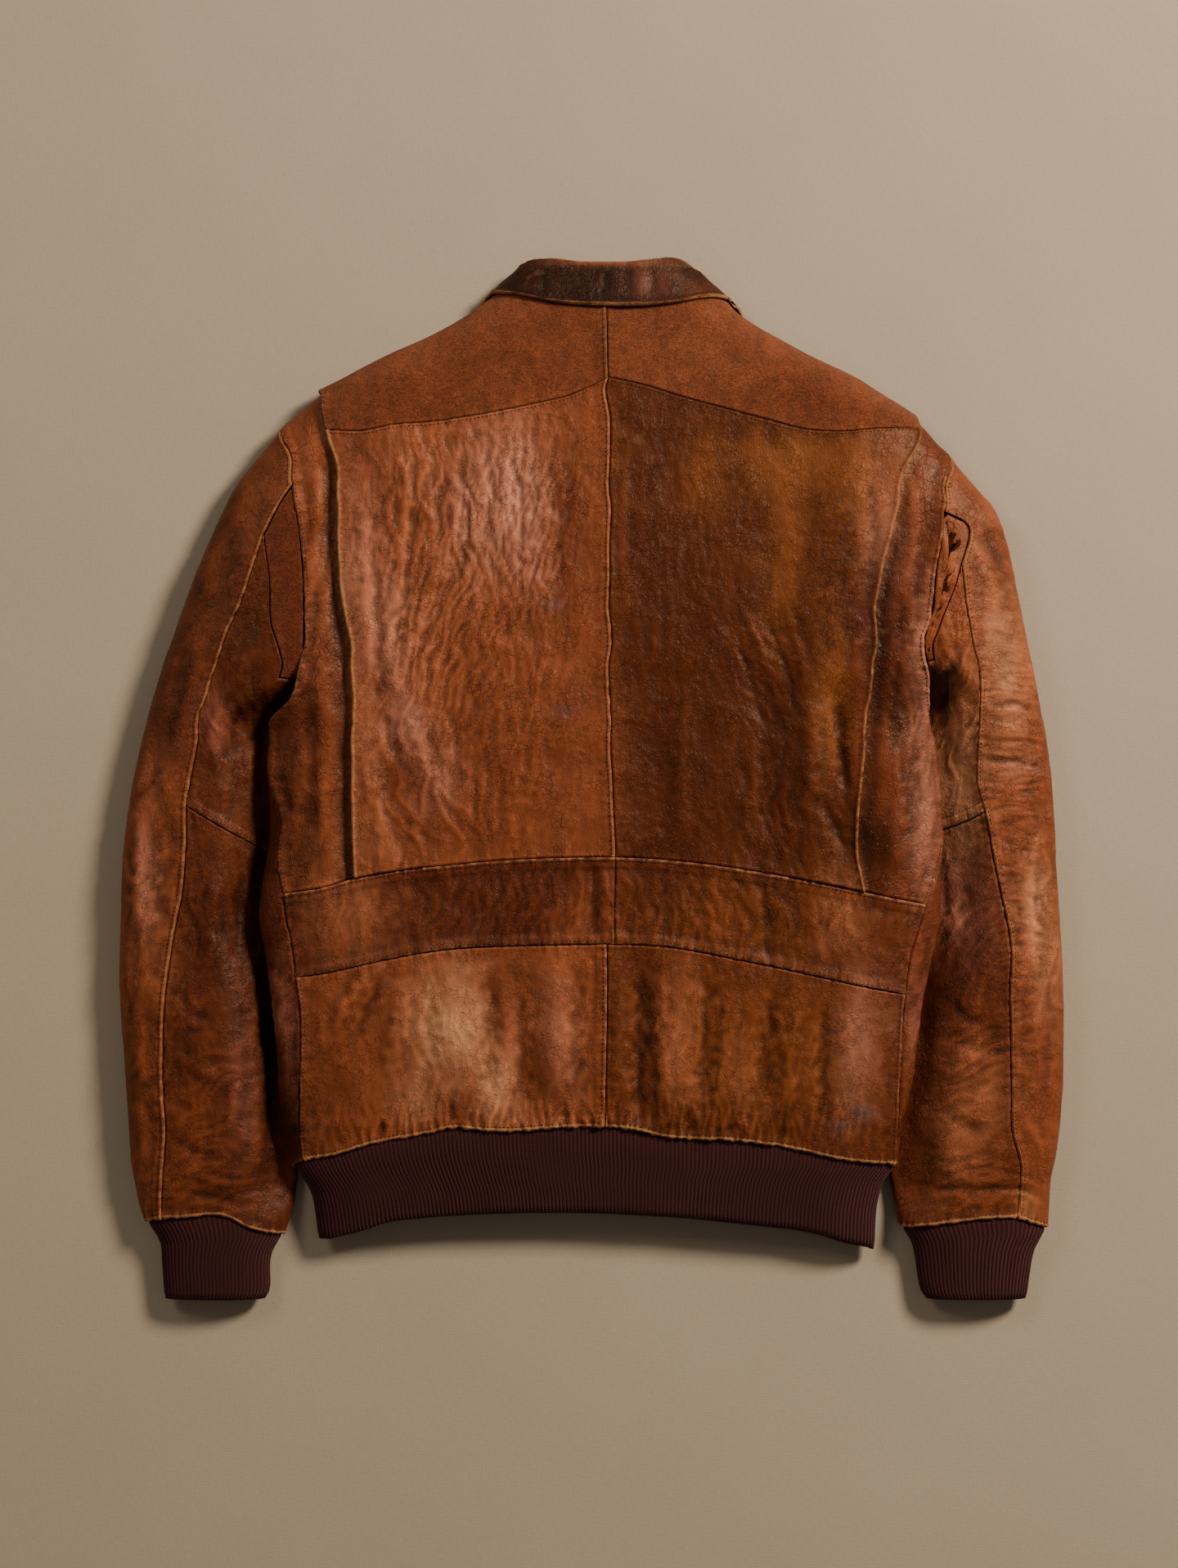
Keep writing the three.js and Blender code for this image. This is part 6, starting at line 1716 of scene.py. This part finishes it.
class JACKET_OT_backs(bpy.types.Operator):
    """Add the two back panels, with their pleats, and the side panels under them"""
    bl_idname = "jacket.backs"
    bl_label = "Back and side panels"

    def execute(self, context):
        made = finishes()
        for name, outlines in BODY.items():
            pleat, centre = ("turned", "rolled") if name == "left" else ("free", "seam")
            add_panel(f"back_{name}", body_surface, outlines["back"], (13, 15),
                      by_edge("seam", "seam", pleat, centre), body_relief,
                      ("hide" if name == "left" else "umber", BODY_PATCHES), made["hide"],
                      lift=pleat_lift(name))
            add_panel(f"side_back_{name}", body_surface, outlines["side_back"], (9, 12),
                      by_edge("seam", "hidden", "topstitched", "hidden"), side_relief,
                      ("hide" if name == "left" else "deep", BODY_PATCHES), made["coarse_hide"])
        return {"FINISHED"}


class JACKET_OT_yokes(bpy.types.Operator):
    """Add the two suede yoke pieces"""
    bl_idname = "jacket.yokes"
    bl_label = "Yoke"

    def execute(self, context):
        made = finishes()
        for name, outlines in BODY.items():
            ends = "rolled" if name == "left" else "seam"
            add_panel(f"yoke_{name}", body_surface, outlines["yoke"], (13, 10),
                      by_edge("seam", "seam", ends, ends), yoke_relief, ("suede", YOKE_PATCHES),
                      made["suede"], lift=pleat_lift(name), slot="suede")
        return {"FINISHED"}


class JACKET_OT_belts(bpy.types.Operator):
    """Add the two halves of the back belt"""
    bl_idname = "jacket.belts"
    bl_label = "Back belt"

    def execute(self, context):
        made = finishes()
        for name, outlines in BODY.items():
            add_panel(f"belt_{name}", body_surface, outlines["belt"], (12, 16),
                      by_edge("topstitched", "topstitched", "seam", "seam"), body_relief,
                      ("belt", BODY_PATCHES), made["hide"])
        return {"FINISHED"}


class JACKET_OT_lower_backs(bpy.types.Operator):
    """Add the two lower back panels"""
    bl_idname = "jacket.lower_backs"
    bl_label = "Lower back"

    def execute(self, context):
        made = finishes()
        for name, outlines in BODY.items():
            edges = by_edge("frayed", "seam", "rolled", "topstitched" if name == "left" else "seam")
            add_panel(f"lower_back_{name}", body_surface, outlines["lower_back"], (14, 15), edges,
                      body_relief, ("hide" if name == "left" else "deep", BODY_PATCHES), made["hide"])
        return {"FINISHED"}


class JACKET_OT_fronts(bpy.types.Operator):
    """Add the two fronts, which lap underneath"""
    bl_idname = "jacket.fronts"
    bl_label = "Fronts"

    def execute(self, context):
        made = finishes()
        for name, outlines in BODY.items():
            add_panel(f"front_{name}", body_surface, outlines["front"], (6, 7),
                      by_edge("rolled", "hidden", "seam", "topstitched"), body_relief,
                      ("deep", BODY_PATCHES), made["coarse_hide"],
                      lift=lap_lift if name == "right" else None)
        return {"FINISHED"}


class JACKET_OT_waistband(bpy.types.Operator):
    """Add the ribbed waistband"""
    bl_idname = "jacket.waistband"
    bl_label = "Waistband"

    def execute(self, context):
        add_knit("waistband", body_surface, *band_rows(), closed=False)
        return {"FINISHED"}


class JACKET_OT_collar(bpy.types.Operator):
    """Add the collar leaf and the stand inside it"""
    bl_idname = "jacket.collar"
    bl_label = "Collar"

    def execute(self, context):
        made = finishes()
        edge, fold = leaf_rows()
        add_panel("collar_leaf", body_surface, strip_between(edge, fold), (8, 5),
                  by_edge("piped", "rolled", "rolled", "rolled"), collar_relief,
                  ("collar", COLLAR_PATCHES), made["hide"], lift=leaf_lift, slot="dark_hide")
        add_panel("collar_stand", body_surface, strip_between(*stand_rows(fold)), (4, 2),
                  by_edge("seam", "rolled", "rolled", "rolled"), collar_relief,
                  ("dark", COLLAR_PATCHES), made["hide"], inset=WIDE_INSET, slot="dark_hide")
        return {"FINISHED"}


class JACKET_OT_sleeves(bpy.types.Operator):
    """Add the outer and under pieces of both sleeves"""
    bl_idname = "jacket.sleeves"
    bl_label = "Sleeves"

    def execute(self, context):
        made = finishes()
        for name, (surface, outlines) in SLEEVES.items():
            add_panel(f"sleeve_outer_{name}", surface, outlines["sleeve_outer"], (9, 14),
                      by_edge("frayed", "seam", "rolled", "seam"), sleeve_relief,
                      ("hide", SLEEVE_PATCHES), made["hide"])
            add_panel(f"sleeve_under_lower_{name}", surface, outlines["sleeve_under_lower"], (8, 16),
                      by_edge("frayed", "seam", "seam", "seam"), sleeve_relief,
                      ("deep", SLEEVE_PATCHES), made["hide"],
                      slot="hide" if name == "left" else "dark_hide")
            add_panel(f"sleeve_under_upper_{name}", surface, outlines["sleeve_under_upper"], (8, 14),
                      by_edge("topstitched", "seam", "seam", "seam"), sleeve_relief,
                      ("deep" if name == "left" else "hide", SLEEVE_PATCHES), made["hide"])
        return {"FINISHED"}


class JACKET_OT_gussets(bpy.types.Operator):
    """Add the gussets behind the armholes, suede on the left and leather on the right"""
    bl_idname = "jacket.gussets"
    bl_label = "Gussets"

    def execute(self, context):
        made = finishes()
        for name, (surface, outlines) in SLEEVES.items():
            kind, tone = ("suede", "suede_red") if name == "left" else ("hide", "hide")
            add_panel(f"gusset_{name}", surface, outlines["gusset"], (14, 15),
                      by_edge("seam", "seam", "seam", "seam"), sleeve_relief, (tone, []), made[kind],
                      inset=WIDE_INSET, slot=kind)
        return {"FINISHED"}


class JACKET_OT_cuffs(bpy.types.Operator):
    """Add the ribbed cuffs"""
    bl_idname = "jacket.cuffs"
    bl_label = "Cuffs"

    def execute(self, context):
        for name, (surface, outlines) in SLEEVES.items():
            add_knit(f"cuff_{name}", surface, *outlines["cuff"], closed=True)
        return {"FINISHED"}


def both(part, edge, away):
    """The same stitch line on the left and the right piece."""
    return (f"{part}_left", edge, away), (f"{part}_right", edge, away)


# Stitch lines: piece, edge, and distance from it in millimetres.
STITCH_LINES = {
    "back_stitches": [
        ("back_left", "right", 2.8), *both("belt", "top", 2.6), *both("belt", "bottom", 2.6),
        ("lower_back_left", "right", 2.6), *both("lower_back", "left", 3.0),
        *both("lower_back", "bottom", 3.6), *both("side_back", "left", 2.8),
    ],
    "yoke_stitches": [
        *both("back", "top", 2.4), ("yoke_left", "right", 3.0), ("yoke_left", "left", 3.0),
    ],
    "collar_stitches": [("collar_leaf", "bottom", 4.2)],
    "sleeve_stitches": [
        *both("sleeve_outer", "left", 3.0), *both("sleeve_under_upper", "bottom", 2.6),
        *both("sleeve_under_upper", "bottom", 8.0), *both("sleeve_outer", "bottom", 3.4),
        *both("sleeve_under_lower", "bottom", 3.4),
    ],
}


class JACKET_OT_stitches(bpy.types.Operator):
    """Sew the seams with visible stitches"""
    bl_idname = "jacket.stitches"
    bl_label = "Stitches"

    def execute(self, context):
        for name, lines in STITCH_LINES.items():
            add_stitches(name, [line_beside(*line) for line in lines], finishes()["thread"])
        return {"FINISHED"}


OPERATORS = (
    JACKET_OT_stage, JACKET_OT_backs, JACKET_OT_yokes, JACKET_OT_belts, JACKET_OT_lower_backs,
    JACKET_OT_fronts, JACKET_OT_waistband, JACKET_OT_collar, JACKET_OT_sleeves, JACKET_OT_gussets,
    JACKET_OT_cuffs, JACKET_OT_stitches,
)


class JACKET_PT_sidebar(bpy.types.Panel):
    """Buttons for each group of pieces, and the sizes and colours"""
    bl_label = "Flight Jacket"
    bl_idname = "JACKET_PT_sidebar"
    bl_space_type = "VIEW_3D"
    bl_region_type = "UI"
    bl_category = "Jacket"

    def draw(self, context):
        for group in (context.scene.jacket, context.scene.jacket_colours):
            for key in group.__annotations__:
                self.layout.prop(group, key)
        for operator in OPERATORS:
            self.layout.operator(operator.bl_idname)


CLASSES = (JacketSizes, JacketColours, *OPERATORS, JACKET_PT_sidebar)


def register():
    for item in CLASSES:
        bpy.utils.register_class(item)
    bpy.types.Scene.jacket = PointerProperty(type=JacketSizes)
    bpy.types.Scene.jacket_colours = PointerProperty(type=JacketColours)


def unregister():
    del bpy.types.Scene.jacket_colours
    del bpy.types.Scene.jacket
    for item in reversed(CLASSES):
        bpy.utils.unregister_class(item)


def main():
    register()
    bpy.ops.jacket.stage()
    bpy.ops.jacket.backs()
    bpy.ops.jacket.yokes()
    bpy.ops.jacket.belts()
    bpy.ops.jacket.lower_backs()
    bpy.ops.jacket.fronts()
    bpy.ops.jacket.waistband()
    bpy.ops.jacket.collar()
    bpy.ops.jacket.sleeves()
    bpy.ops.jacket.gussets()
    bpy.ops.jacket.cuffs()
    bpy.ops.jacket.stitches()


if __name__ == "__main__":
    main()
